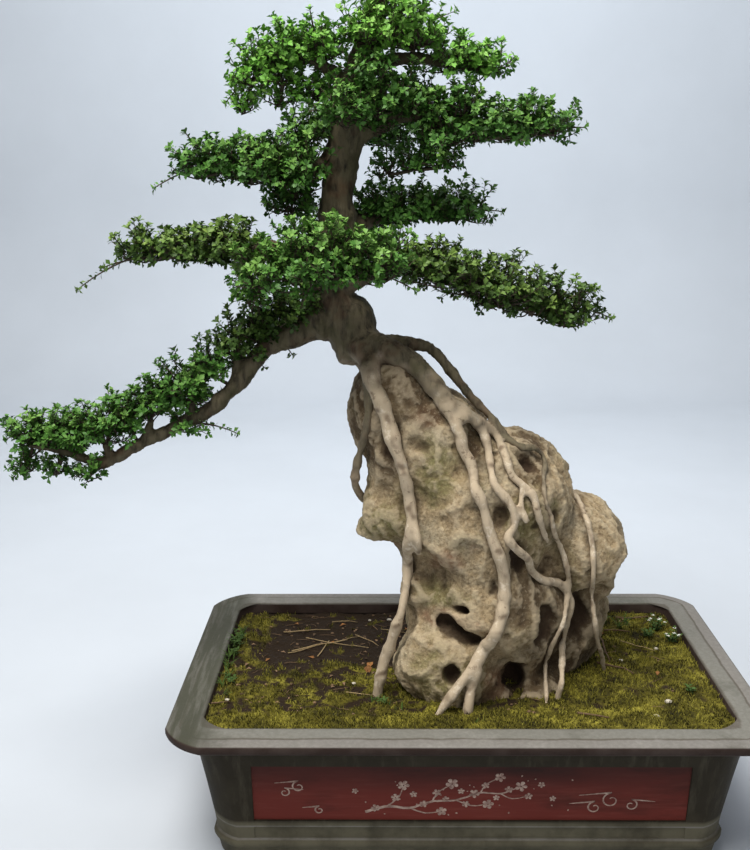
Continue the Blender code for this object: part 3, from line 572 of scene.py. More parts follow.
@dataclass(frozen=True)
class DarkGlaze:
    """The pot's weathered brown-black glaze, with a rim of worn and dusty bands."""

    body: Colour = (0.028, 0.023, 0.015)
    streak: Colour = (0.055, 0.047, 0.032)
    olive: Colour = (0.135, 0.122, 0.082)
    face: Colour = (0.030, 0.019, 0.015)
    face_worn: Colour = (0.060, 0.044, 0.037)
    # Painted shadow in the cove under the rim's overhang
    cove_shadow: Colour = (0.006, 0.004, 0.003)
    outer_band: Colour = (0.205, 0.192, 0.176)
    line: Colour = (0.110, 0.096, 0.080)
    inner_band: Colour = (0.188, 0.182, 0.160)
    bright: Colour = (0.280, 0.268, 0.245)
    dirt: Colour = (0.058, 0.058, 0.042)
    rim_from: float = 0.1530
    face_from: float = 0.1425
    cove_shadow_from: float = 0.1335
    foot_to: float = 0.0500
    # Heights of thin light lines on the moulding edges: painted highlight, rubbed in places
    worn_highlight_lines: tuple[float, float] = (0.0430, 0.0278)
    dirty_to: float = -0.1500

    def bands(self, graph: Graph, clouds: bpy.types.NodeSocket,
              fine: bpy.types.NodeSocket) -> bpy.types.NodeSocket:
        """Colour the rim in bands by the distance from its outer edge.

        Args:
            graph: the glaze's nodes.
            clouds: broad patches, which the bands wander by.
            fine: the glaze's grain, where dirt sits.

        Returns:
            The rim's colour.
        """
        band = graph.kept("band")
        wander = graph.level(clouds, 0.3, 0.7, -0.04, 0.04)
        rim = graph.ramp(graph.math("ADD", band, wander), (
            (0.0, self.outer_band), (0.36, self.outer_band), (0.40, self.line), (0.43, self.line),
            (0.48, self.inner_band), (0.92, self.inner_band), (1.0, self.line),
        ))
        worn = graph.noise(0.045, stretch=(2.0, 2.0, 1.0), detail=7.0, rough=0.7)
        rim = graph.layer(rim, self.dirt, worn, 0.56, 0.72, 0.0, 0.60)
        rim = graph.layer(rim, self.bright, worn, 0.46, 0.32, 0.0, 0.50)
        across = graph.node("SeparateXYZ", {0: graph.place}).outputs["X"]
        end = graph.level(across, self.dirty_to, self.dirty_to - 0.030)
        streaks = graph.noise(0.016, stretch=(0.6, 6.0, 1.0), detail=6.0, rough=0.7)
        dusty = graph.math("MULTIPLY", end, graph.level(streaks, 0.34, 0.54, 0.50, 1.0))
        rim = graph.mix(dusty, rim, self.dirt)
        return graph.layer(rim, self.dirt, fine, 0.42, 0.62, 0.22, 0.0)

    def material(self) -> bpy.types.Material:
        """Return the glaze as a material."""
        graph = Graph("dark_glaze")
        clouds = graph.noise(0.035, detail=8.0)
        fine = graph.noise(0.005, detail=5.0, rough=0.7)
        runs = graph.noise(0.010, stretch=(1.0, 1.0, 9.0), detail=4.0, rough=0.65)
        body = graph.ramp(runs, ((0.36, self.body), (0.52, self.body), (0.72, self.streak)))
        body = graph.layer(body, self.streak, clouds, 0.48, 0.75, 0.0, 0.60)
        high = graph.height()
        low = graph.level(high, self.foot_to, self.foot_to - 0.004, 0.0, 0.80)
        chalky = graph.math("MULTIPLY", low, graph.level(clouds, 0.34, 0.58, 0.4, 1.0))
        body = graph.mix(chalky, body, self.olive)
        # Painted highlight along the moulding edges, patchy where rubbed
        for line in self.worn_highlight_lines:
            away = graph.math("ABSOLUTE", graph.math("SUBTRACT", high, line))
            near = graph.level(away, 0.0014, 0.0004)
            worn = graph.math("MULTIPLY", near, graph.level(clouds, 0.34, 0.60, 0.15, 0.75))
            body = graph.mix(worn, body, self.outer_band)
        face = graph.ramp(clouds, ((0.40, self.face), (0.72, self.face_worn)))
        rim = self.bands(graph, clouds, fine)
        # From the bottom up: painted shadow in the cove under the rim, then the rim's face, then its top
        for start, blend, tone in (
            (self.cove_shadow_from, 0.004, self.cove_shadow), (self.face_from, 0.0015, face), (self.rim_from, 0.001, rim),
        ):
            body = graph.layer(body, tone, high, start, start + blend)
        graph.set(
            Base_Color=body,
            Roughness=graph.level(clouds, 0.30, 0.70, 0.50, 0.72),
            Normal=graph.bump(fine, 0.0006, 0.5),
            Specular_IOR_Level=0.07,
        )
        return graph.material


@dataclass(frozen=True)
class PlainColour:
    """A rough finish of two near colours in fine and broad patches."""

    name: str
    first: Colour
    second: Colour
    size: float = 0.010
    roughness: float = 0.85
    relief: float = 0.0004
    stretch: Point = UNSTRETCHED

    def material(self) -> bpy.types.Material:
        """Return the finish as a material."""
        graph = Graph(self.name)
        patches = graph.noise(self.size, stretch=self.stretch, detail=6.0)
        grain = graph.noise(self.size / 6.0, stretch=self.stretch)
        graph.set(
            Base_Color=graph.ramp(patches, ((0.32, self.first), (0.68, self.second))),
            Roughness=self.roughness,
            Normal=graph.bump(grain, self.relief, 0.7),
        )
        return graph.material


@dataclass(frozen=True)
class PanelRed:
    """Brick red slip, rubbed in places, and darker towards its top with painted shadow of the rim."""

    red: Colour = (0.135, 0.024, 0.017)
    dark: Colour = (0.040, 0.013, 0.009)
    rubbed: Colour = (0.190, 0.052, 0.038)
    # Painted shadow of the rim's overhang over the panel's top
    rim_shadow: Colour = (0.026, 0.010, 0.008)
    rim_shadow_from: float = 0.080
    rim_shadow_to: float = 0.112

    def material(self) -> bpy.types.Material:
        """Return the slip as a material."""
        graph = Graph("panel_red")
        broad = graph.noise(0.060, stretch=(3.0, 1.0, 1.0), detail=6.0)
        brushed = graph.noise(0.004, stretch=(12.0, 1.0, 1.0), detail=3.0)
        colour = graph.ramp(broad, ((0.30, self.dark), (0.48, self.red), (0.74, self.red)))
        colour = graph.layer(colour, self.rubbed, brushed, 0.50, 0.80, 0.0, 0.5)
        # Painted shadow of the rim: darker towards the panel's top, patchy by the broad noise
        high = graph.level(graph.height(), self.rim_shadow_from, self.rim_shadow_to)
        shadowed_top = graph.math("MULTIPLY", high, graph.level(broad, 0.36, 0.60, 0.50, 1.00))
        colour = graph.mix(shadowed_top, colour, self.rim_shadow)
        graph.set(
            Base_Color=colour, Roughness=0.68, Normal=graph.bump(brushed, 0.0003, 0.4),
            Specular_IOR_Level=0.14,
        )
        return graph.material


@dataclass(frozen=True)
class Limestone:
    """Weathered beige stone, mossier in its hollows and darker there with patina and painted shade."""

    pale: Colour = (0.540, 0.445, 0.300)
    beige: Colour = (0.345, 0.262, 0.152)
    brown: Colour = (0.120, 0.076, 0.040)
    grey: Colour = (0.290, 0.262, 0.190)
    mossy: Colour = (0.175, 0.160, 0.058)
    rust: Colour = (0.235, 0.125, 0.072)
    dark: Colour = (0.058, 0.036, 0.019)
    # The stone is darker below this height
    darker_below: float = 0.172
    # Dark patina and painted shade in the hollows, pits and deep cavities
    hollow: Colour = (0.040, 0.024, 0.014)

    def material(self) -> bpy.types.Material:
        """Return the stone as a material."""
        graph = Graph("limestone")
        broad = graph.noise(0.060, detail=6.0, rough=0.65)
        spots = graph.noise(0.014, detail=9.0, rough=0.72)
        speck = graph.noise(0.0032, detail=5.0, rough=0.7)
        pits = graph.cells(0.0040)
        colour = graph.ramp(
            spots, ((0.32, self.brown), (0.43, self.beige), (0.56, self.beige), (0.70, self.pale)),
        )
        damp = graph.noise(0.075, detail=5.0, distortion=0.5)
        stain = graph.noise(0.048, detail=5.0, distortion=0.8)
        for value, low, high, most, tone in (
            (broad, 0.50, 0.66, 0.65, self.grey), (broad, 0.46, 0.34, 0.60, self.brown),
            (damp, 0.52, 0.68, 0.60, self.mossy), (stain, 0.60, 0.74, 0.45, self.rust),
        ):
            colour = graph.layer(colour, tone, value, low, high, 0.0, most)
        patchy = graph.level(spots, 0.36, 0.60, 0.30, 0.90)
        for name, tone in (("mossy", self.mossy), ("rust", self.rust)):
            colour = graph.mix(graph.math("MULTIPLY", graph.kept(name), patchy), colour, tone)
        # Painted shade where the wood lies on the stone, joined with the dark stains
        dark = graph.math("MAXIMUM", graph.kept("dark"), graph.kept("contact"))
        # Darker towards the stone's foot
        lowness = graph.level(graph.height(), self.darker_below, self.darker_below - 0.022)
        dark = graph.math("MAXIMUM", dark, lowness)
        dark = graph.math("MULTIPLY", dark, graph.level(spots, 0.30, 0.62, 0.55, 0.95))
        colour = graph.mix(dark, colour, self.dark)
        # Painted shade over a dark patina in the pits, the deep cavities and the cut hollows; the raised skin
        # paler
        cavity = graph.kept("cavity")
        for value, low, high, least, most, tone in (
            (speck, 0.36, 0.52, 0.55, 0.0, self.brown), (speck, 0.55, 0.72, 0.0, 0.45, self.pale),
            (pits, 0.0, 0.22, 0.55, 0.0, self.hollow), (cavity, 0.32, 0.85, 0.0, 0.85, self.hollow),
            (cavity, 0.0, 0.20, 0.45, 0.0, self.pale),
            (graph.kept("hollow"), 0.0, 1.0, 0.0, 0.88, self.hollow),
        ):
            colour = graph.layer(colour, tone, value, low, high, least, most)
        rough = graph.bump(speck, 0.0014, 0.9)
        graph.set(
            Base_Color=colour, Roughness=0.93, Normal=graph.bump(pits, 0.0012, 0.6, rough),
            Specular_IOR_Level=0.2,
        )
        return graph.material


@dataclass(frozen=True)
class Bark:
    """Grey-brown bark that turns to pale, smooth skin on the bare roots."""

    trunk: Colour = (0.104, 0.086, 0.050)
    trunk_dark: Colour = (0.022, 0.017, 0.010)
    trunk_moss: Colour = (0.056, 0.052, 0.020)
    rust: Colour = (0.098, 0.046, 0.022)
    root: Colour = (0.450, 0.362, 0.252)
    root_pale: Colour = (0.660, 0.570, 0.435)
    root_dark: Colour = (0.120, 0.078, 0.046)

    def material(self) -> bpy.types.Material:
        """Return the bark as a material."""
        graph = Graph("bark")
        along = graph.noise(0.006, stretch=(1.0, 1.0, 3.5), detail=6.0)
        patches = graph.noise(0.030, detail=5.0)
        blotch = graph.noise(0.013, detail=6.0, rough=0.7)
        trunk = graph.ramp(along, ((0.32, self.trunk_dark), (0.55, self.trunk), (0.80, self.trunk)))
        trunk = graph.layer(trunk, self.trunk_moss, patches, 0.50, 0.68, 0.0, 0.65)
        trunk = graph.layer(trunk, self.rust, patches, 0.46, 0.30, 0.0, 0.55)
        root = graph.ramp(
            blotch, ((0.30, self.root_dark), (0.41, self.root), (0.54, self.root), (0.66, self.root_pale)),
        )
        root = graph.layer(root, self.root_dark, along, 0.42, 0.25, 0.0, 0.55)
        colour = graph.mix(graph.kept("bareness"), trunk, root)
        # Dark rings on the roots, and painted shade where the wood lies on the stone
        shade = graph.math("MAXIMUM", graph.kept("shade"), graph.kept("contact"))
        colour = graph.layer(colour, self.root_dark, shade, 0.0, 1.0, 0.0, 0.80)
        ridges = graph.bump(along, 0.0016, 0.7)
        graph.set(
            Base_Color=colour, Roughness=0.80, Normal=graph.bump(blotch, 0.0005, 0.4, ridges),
            Specular_IOR_Level=0.30,
        )
        return graph.material


@dataclass(frozen=True)
class Leaf:
    """A small green blade that takes its own tint from the mesh."""

    roughness: float = 0.50
    mottled: Colour = (0.9, 0.95, 0.7)

    def material(self) -> bpy.types.Material:
        """Return the blade as a material."""
        graph = Graph("leaf")
        mottle = graph.level(graph.noise(0.0016, detail=2.0), 0.35, 0.70, 0.0, 0.35)
        colour = graph.mix(mottle, graph.tint(), self.mottled, "MULTIPLY")
        graph.set(Base_Color=colour, Roughness=self.roughness, Specular_IOR_Level=0.24)
        return graph.material


@dataclass(frozen=True)
class Tinted:
    """A rough finish whose colour is the mesh's own tint."""

    name: str
    roughness: float = 0.9
    grain: float = 0.002
    relief: float = 0.0003
    shaded: Colour = (0.45, 0.42, 0.36)

    def material(self) -> bpy.types.Material:
        """Return the finish as a material."""
        graph = Graph(self.name)
        grain = graph.noise(self.grain, detail=3.0)
        colour = graph.mix(graph.level(grain, 0.30, 0.70, 0.0, 0.6), graph.tint(), self.shaded, "MULTIPLY")
        graph.set(
            Base_Color=colour, Roughness=self.roughness, Normal=graph.bump(grain, self.relief, 0.8),
            Specular_IOR_Level=0.25,
        )
        return graph.material


@dataclass
class Pot:
    """The fired pot: one skin round walls, rim and floor, then its cuts."""

    corner: float = 38.0 * MM
    corner_taper: float = 0.3
    corner_flat: float = 0.45
    corner_steps: int = 10
    rim_width: float = 35.0 * MM
    inside_corner: float = 24.0 * MM
    inside_taper: float = 24.0 * MM
    floor_top: float = 30.0 * MM
    foot_height: float = 14.0 * MM
    foot_gap: tuple[float, float] = (366.0 * MM, 166.0 * MM)
    foot_gap_slope: float = 8.0 * MM
    panel_half: tuple[float, float] = (216.0 * MM, 106.0 * MM)
    panel: tuple[float, float, float] = (50.0 * MM, 117.0 * MM, 2.5 * MM)
    lower_panel: tuple[float, float, float] = (28.6 * MM, 42.5 * MM, 1.5 * MM)
    drain_radius: float = 12.0 * MM
    drain_offset: float = 130.0 * MM
    drain_depth: float = 100.0 * MM
    drain_sides: int = 32
    cutter_reach: float = 400.0 * MM
    edge: float = 1.1 * MM
    bevel_angle: float = math.radians(35.0)
    sharp_angle: float = math.radians(50.0)
    inside_top: float = 150.0 * MM
    inside_rounds: int = 6
    panel_slack: float = 0.3 * MM
    facing: float = 0.9
    worn: PlainColour = PlainColour("worn_edge", (0.045, 0.042, 0.032), (0.150, 0.142, 0.118), 0.012, 0.6)
    half: tuple[float, float] = field(init=False)
    height: float = field(init=False)
    # Height and inset from the rim's edge, in millimetres, from the foot to the rim's inner edge
    outside: tuple[tuple[float, float], ...] = (
        (0.0, 46.5), (1.0, 45.5), (17.0, 42.4), (18.5, 41.6), (19.5, 40.2), (21.0, 39.3),
        (24.4, 39.1), (25.8, 39.6), (26.8, 41.0), (28.0, 42.3), (43.0, 40.5), (90.0, 33.0),
        (130.0, 26.0), (136.0, 25.0), (139.5, 22.8), (141.6, 18.5), (142.8, 12.0), (143.6, 6.0),
        (144.5, 2.2), (145.8, 0.6), (147.4, 0.0), (152.0, 0.0), (153.3, 0.4), (154.1, 1.3),
        (154.5, 2.8), (154.8, 7.0), (154.8, 12.0), (154.6, 13.2), (155.0, 14.8), (155.0, 33.2),
    )
    lip: tuple[tuple[float, float], ...] = ((154.8, 34.4), (154.2, 35.1), (152.5, 35.5))

    def __post_init__(self) -> None:
        """Read the rim's size from the frame."""
        low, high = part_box("pot")
        self.half = ((high.x - low.x) / 2, (high.y - low.y) / 2)
        self.height = high.z

    def ring(self, inset: float, corner: float, height: float, flat: float) -> list[Vector]:
        """Lay one round of points on a rectangle with rounded or flattened corners.

        Args:
            inset: how far it lies within the rim's outer edge.
            corner: its corners' radius.
            height: its height above the floor.
            flat: how far its corners are flattened, from an arc (0) to its chord (1).

        Returns:
            The points, in order round the pot.
        """
        points = []
        for quarter in range(4):
            start = quarter * math.pi / 2
            sign_x = 1 if quarter in (0, 3) else -1
            sign_y = 1 if quarter in (0, 1) else -1
            centre = Vector((
                sign_x * (self.half[0] - inset - corner), sign_y * (self.half[1] - inset - corner), height,
            ))
            first = Vector((math.cos(start), math.sin(start), 0.0))
            last = Vector((-math.sin(start), math.cos(start), 0.0))
            for step in range(self.corner_steps + 1):
                share = step / self.corner_steps
                angle = start + share * math.pi / 2
                on_arc = Vector((math.cos(angle), math.sin(angle), 0.0))
                points.append(POT_CENTRE + centre + corner * on_arc.lerp(first.lerp(last, share), flat))
        return points

    def inside_inset(self, height: float) -> float:
        """Return the inner wall's inset from the rim's edge at a height."""
        depth = (self.height - height) / (self.height - self.floor_top)
        return self.rim_width + self.inside_taper * depth

    def outside_inset(self, height: float) -> float:
        """Return the outer wall's inset from the rim's edge at a height."""
        levels = [row[0] * MM for row in self.outside]
        return float(np.interp(height, levels, [row[1] * MM for row in self.outside]))

    def rings(self) -> list[list[Vector]]:
        """Return every round of the skin, from the foot, over the rim, to the floor.

        Returns:
            The rounds' places.
        """
        made = []
        for level, inset in self.outside:
            corner = self.corner - self.corner_taper * inset * MM
            made.append(self.ring(inset * MM, corner, level * MM, self.corner_flat))
        for level, inset in self.lip:
            made.append(self.ring(inset * MM, self.inside_corner, level * MM, 0.0))
        for level in np.linspace(self.inside_top, self.floor_top, self.inside_rounds):
            made.append(self.ring(self.inside_inset(level), self.inside_corner, level, 0.0))
        return made

    def skin(self) -> bpy.types.Object:
        """Return the pot before its cuts.

        Returns:
            The closed skin.
        """
        bm = bmesh.new()
        rows = [[bm.verts.new(point) for point in ring] for ring in self.rings()]
        for lower, upper in zip(rows, rows[1:]):
            for index in range(len(lower)):
                beside = (index + 1) % len(lower)
                bm.faces.new((lower[index], lower[beside], upper[beside], upper[index]))
        bm.faces.new(rows[0])
        bm.faces.new(rows[-1])
        return from_bmesh("pot_fired", bm, True)

    def slab(self, corners: Callable[[Vector], Point]) -> bpy.types.Object:
        """Return a block whose corners a function places, from a cube of half size one."""
        bm = bmesh.new()
        bmesh.ops.create_cube(bm, size=2.0)
        for vert in bm.verts:
            vert.co = POT_CENTRE + Vector(corners(vert.co))
        return from_bmesh("cutter", bm, True)

    def panel_slab(self, on_end: bool, side: int, low: float, high: float, depth: float) -> bpy.types.Object:
        """Make the block that sinks a panel into one wall.

        Args:
            on_end: whether the wall is an end, and not the front or the back.
            side: the wall's side, -1 or 1.
            low: the height of the panel's lower edge.
            high: the height of its upper edge.
            depth: how far it is sunk.

        Returns:
            The cutter.
        """
        across = self.panel_half[1 if on_end else 0]
        span = self.half[0 if on_end else 1]

        def corner(way: Vector) -> Point:
            """Return one corner of the panel's block."""
            height = high if way.z > 0 else low
            wall = span - self.outside_inset(height)
            out = side * (wall + 0.02 if way.y > 0 else wall - depth)
            along = across * way.x
            return (out, along, height) if on_end else (along, out, height)

        return self.slab(corner)

    def foot_slab(self, along_y: bool) -> bpy.types.Object:
        """Return the block that leaves the gap between two pairs of feet.

        Args:
            along_y: whether the gap runs from the front to the back.

        Returns:
            The cutter.
        """

        def corner(way: Vector) -> Point:
            """Return one corner of the gap's block."""
            slope = self.foot_gap_slope if way.z < 0 else -self.foot_gap_slope
            half = self.foot_gap[0 if along_y else 1] / 2 + slope
            height = self.foot_height if way.z > 0 else -self.foot_height
            across, along = (half, self.cutter_reach) if along_y else (self.cutter_reach, half)
            return way.x * across, way.y * along, height

        return self.slab(corner)

    def drain(self, side: int) -> bpy.types.Object:
        """Return the round cutter of one drain hole.

        Args:
            side: -1 for the hole on the left, and 1 for the one on the right.

        Returns:
            The cutter.
        """
        bm = bmesh.new()
        radius = self.drain_radius
        bmesh.ops.create_cone(
            bm, cap_ends=True, segments=self.drain_sides, radius1=radius, radius2=radius,
            depth=self.drain_depth,
        )
        bmesh.ops.translate(bm, verts=bm.verts, vec=POT_CENTRE + Vector((side * self.drain_offset, 0, 0)))
        return from_bmesh("cutter", bm, True)

    def cut(self, pot: bpy.types.Object) -> None:
        """Sink the panels, part the feet and bore the drain holes.

        Args:
            pot: the pot's skin, which is changed.
        """
        cutters = [self.foot_slab(True), self.foot_slab(False), self.drain(-1), self.drain(1)]
        for side in (-1, 1):
            for on_end in (False, True):
                cutters.append(self.panel_slab(on_end, side, *self.panel))
                cutters.append(self.panel_slab(on_end, side, *self.lower_panel))
        group = bpy.data.collections.new("pot_cutters")
        for cutter in cutters:
            group.objects.link(cutter)
        step = pot.modifiers.new("cuts", "BOOLEAN")
        step.operation = "DIFFERENCE"
        step.operand_type = "COLLECTION"
        step.collection = group
        apply_steps(pot)
        for cutter in cutters:
            bpy.data.objects.remove(cutter)
        bpy.data.collections.remove(group)

    def in_panel(self, face: bpy.types.MeshPolygon) -> bool:
        """Say whether a face is the ground of an upper panel.

        Args:
            face: the pot's face.

        Returns:
            True where the plain red belongs.
        """
        place = face.center - POT_CENTRE
        low, high, depth = self.panel
        if not low - self.edge < place.z < high + self.edge:
            return False
        sunk = self.outside_inset(place.z) + depth
        for out, along in ((1, 0), (0, 1)):
            gap = abs(abs(place[out]) - (self.half[out] - sunk))
            faces_out = abs(face.normal[out]) > self.facing
            if gap < self.panel_slack and faces_out and abs(place[along]) < self.panel_half[along]:
                return True
        return False

    def band(self, place: Vector) -> float:
        """Return how far a place lies in from the rim's outer edge, as a share of its width.

        Args:
            place: the place, from the pot's centre.

        Returns:
            The share, from none to well inside.
        """
        over_x = abs(place.x) - (self.half[0] - self.corner)
        over_y = abs(place.y) - (self.half[1] - self.corner)
        if over_x <= 0.0 or over_y <= 0.0:
            inset = self.corner - max(over_x, over_y)
        else:
            share = math.atan2(over_y, over_x) / (math.pi / 2)
            on_arc = Vector((over_x, over_y)).normalized()
            on_edge = on_arc.lerp(Vector((1.0 - share, share)), self.corner_flat)
            inset = self.corner * on_edge.length - math.hypot(over_x, over_y)
        return inset / self.rim_width

    def build(self) -> bpy.types.Object:
        """Build and dress the pot.

        Returns:
            The pot's piece.
        """
        pot = self.skin()
        self.cut(pot)
        pot.data.materials.clear()
        for finish in (DarkGlaze(), PanelRed(), self.worn):
            pot.data.materials.append(finish.material())
        for face in pot.data.polygons:
            face.material_index = 1 if self.in_panel(face) else 0
        soften = pot.modifiers.new("soften", "BEVEL")
        soften.width = self.edge
        soften.segments = 2
        soften.limit_method = "ANGLE"
        soften.angle_limit = self.bevel_angle
        soften.material = -1
        soften.harden_normals = False
        apply_steps(pot)
        keep_values(pot, "band", np.array([self.band(vert.co - POT_CENTRE) for vert in pot.data.vertices]))
        pot.data.shade_smooth()
        pot.data.set_sharp_from_angle(angle=self.sharp_angle)
        return dress(pot, Slot.POT, "pot")


@dataclass
class PanelDesign:
    """Raised slip on the front panel: a branch in blossom, falling petals and curled clouds."""

    pot: Pot = field(default_factory=Pot)
    depth: float = 0.55 * MM
    # Lines of places across and up, in millimetres, each with the width of its stroke
    strokes: tuple[tuple[tuple[tuple[float, float], ...], float], ...] = (
        (((-104, 60), (-82, 67), (-60, 65), (-38, 73), (-14, 75), (10, 84), (30, 83), (48, 91)), 3.6),
        (((-82, 67), (-70, 80), (-66, 92)), 2.2), (((-60, 65), (-44, 59), (-28, 61)), 2.0),
        (((-38, 73), (-30, 86), (-18, 94)), 2.1), (((-14, 75), (2, 68), (18, 70)), 2.0),
        (((10, 84), (16, 95), (28, 102)), 1.8), (((30, 83), (42, 77), (56, 80)), 1.6),
    )
    blossoms: tuple[tuple[float, float, float], ...] = (
        (-66, 93, 6.0), (-28, 61, 5.4), (-18, 95, 6.4), (18, 70, 5.8), (29, 103, 5.4), (50, 92, 6.2),
        (-74, 78, 4.6), (-94, 65, 4.4), (-33, 84, 4.4), (4, 83, 5.2), (-46, 70, 4.2), (58, 80, 4.0),
        (-4, 70, 4.0), (15, 93, 4.0), (70, 94, 3.6), (82, 77, 3.4), (-114, 86, 3.4), (-24, 76, 3.6),
        (-56, 82, 3.8), (38, 88, 4.2), (-9, 86, 3.6), (26, 78, 3.4),
    )
    # Middle across and up, size, and the way that the cloud's tail runs
    clouds: tuple[tuple[float, float, float, float], ...] = (
        (124, 66, 7.5, 1.0), (140, 75, 9.5, 1.0), (160, 69, 7.0, -1.0), (-170, 91, 7.0, 1.0),
        (-184, 84, 5.5, -1.0), (-150, 62, 5.0, 1.0),
    )
    petals: int = 26
    petal_field: tuple[tuple[float, float], tuple[float, float]] = ((-110.0, 100.0), (56.0, 104.0))
    # Across a stroke, as shares of its half width, and how high the slip lies there
    section: tuple[tuple[float, float], ...] = ((-1.0, -0.1), (-0.6, 1.0), (0.6, 1.0), (1.0, -0.1))
    # Along a petal and its widths, as shares of its size
    petal_shape: tuple[tuple[float, float], ...] = (
        (0.12, 0.20), (0.42, 0.62), (0.72, 0.80), (0.92, 0.56), (1.0, 0.16),
    )
    clear: float = 0.05 * MM
    finish: PlainColour = PlainColour("slip", (0.190, 0.095, 0.070), (0.520, 0.390, 0.310), 0.005, 0.65)
    seed: int = 7

    def wall(self, across: float, height: float) -> Vector:
        """Return the place on the front panel's ground, both in millimetres."""
        pot = self.pot
        out = pot.half[1] - pot.outside_inset(height * MM) - pot.panel[2] + self.clear
        return POT_CENTRE + Vector((across * MM, -out, height * MM))

    def ribbon(self, sheaf: Sheaf, line: Sequence[tuple[float, float]], widths: Sequence[float]) -> None:
        """Lay one raised stroke on the panel.

        Args:
            sheaf: what the stroke is added to.
            line: places across and up, in millimetres.
            widths: the stroke's width at each place, in millimetres.
        """
        rows = np.array(line, float)
        ways = unit(np.gradient(rows, axis=0))
        sides = np.stack([-ways[:, 1], ways[:, 0]], axis=1)
        points = []
        for place, side, width in zip(rows, sides, widths):
            for share, lift in self.section:
                spot = self.wall(*(place + side * share * width / 2))
                points.append(spot + Vector((0.0, -self.depth * lift, 0.0)))
        faces = []
        columns = len(self.section)
        for row in range(len(rows) - 1):
            for corner in range(row * columns, (row + 1) * columns - 1):
                faces.append((corner, corner + columns, corner + columns + 1))
                faces.append((corner, corner + columns + 1, corner + 1))
        sheaf.add(np.array(points), np.array(faces))

    def petal(self, sheaf: Sheaf, place: Point, turn: float, size: float) -> None:
        """Lay one rounded petal that starts at a place and points away by a turn."""
        way = np.array((math.cos(turn), math.sin(turn))) * size
        line = [np.array(place[:2]) + way * share for share, _ in self.petal_shape]
        self.ribbon(sheaf, line, np.array([width for _, width in self.petal_shape]) * size)

    def blossom(self, sheaf: Sheaf, place: Point, turn: float) -> None:
        """Lay one blossom of five petals."""
        for number in range(5):
            self.petal(sheaf, place, turn + number * 2 * math.pi / 5, place[2])

    def cloud(self, sheaf: Sheaf, across: float, up: float, size: float, way: float) -> None:
        """Lay one curl of cloud with its long tail.

        Args:
            sheaf: what the curl is added to.
            across: its middle, in millimetres from the pot's centre.
            up: its middle's height, in millimetres.
            size: its outer radius, in millimetres.
            way: 1 where the tail lies on the left, and -1 on the right.
        """
        shares = np.linspace(0.0, 1.0, 22)
        line = []
        for share in shares:
            angle = math.pi * (0.5 + 2.2 * share)
            reach = size * (1.0 - 0.72 * share)
            line.append((across + way * reach * math.cos(angle), up + reach * math.sin(angle)))
        pulls = (3.4, 2.6, 1.8, 0.9)
        tail = [(across - way * size * pull, up + size * (1.0 - 0.10 * pull)) for pull in pulls]
        widths = np.concatenate((np.linspace(0.5, 2.0, 4), 2.0 - 0.9 * shares))
        self.ribbon(sheaf, tail + line, widths)

    def build(self) -> bpy.types.Object:
        """Build and dress the design.

        Returns:
            The piece that lies on the front panel.
        """
        draw = np.random.default_rng(self.seed)
        sheaf = Sheaf()
        for knots, width in self.strokes:
            rows = curve_through(np.array([(across, up, 0.0) for across, up in knots], float), 3.0)[:, :2]
            rows += draw.normal(0.0, 0.18, rows.shape)
            self.ribbon(sheaf, rows, width * np.linspace(1.0, 0.45, len(rows)))
        for place in self.blossoms:
            self.blossom(sheaf, place, draw.uniform(0.0, math.pi))
        for cloud in self.clouds:
            self.cloud(sheaf, *cloud)
        for _ in range(self.petals):
            place = tuple(draw.uniform(*span) for span in self.petal_field)
            self.petal(sheaf, place, draw.uniform(0.0, 2 * math.pi), draw.uniform(1.6, 2.6))
        return dress(sheaf.piece("panel_blossom", [self.finish.material()]), Slot.POT)


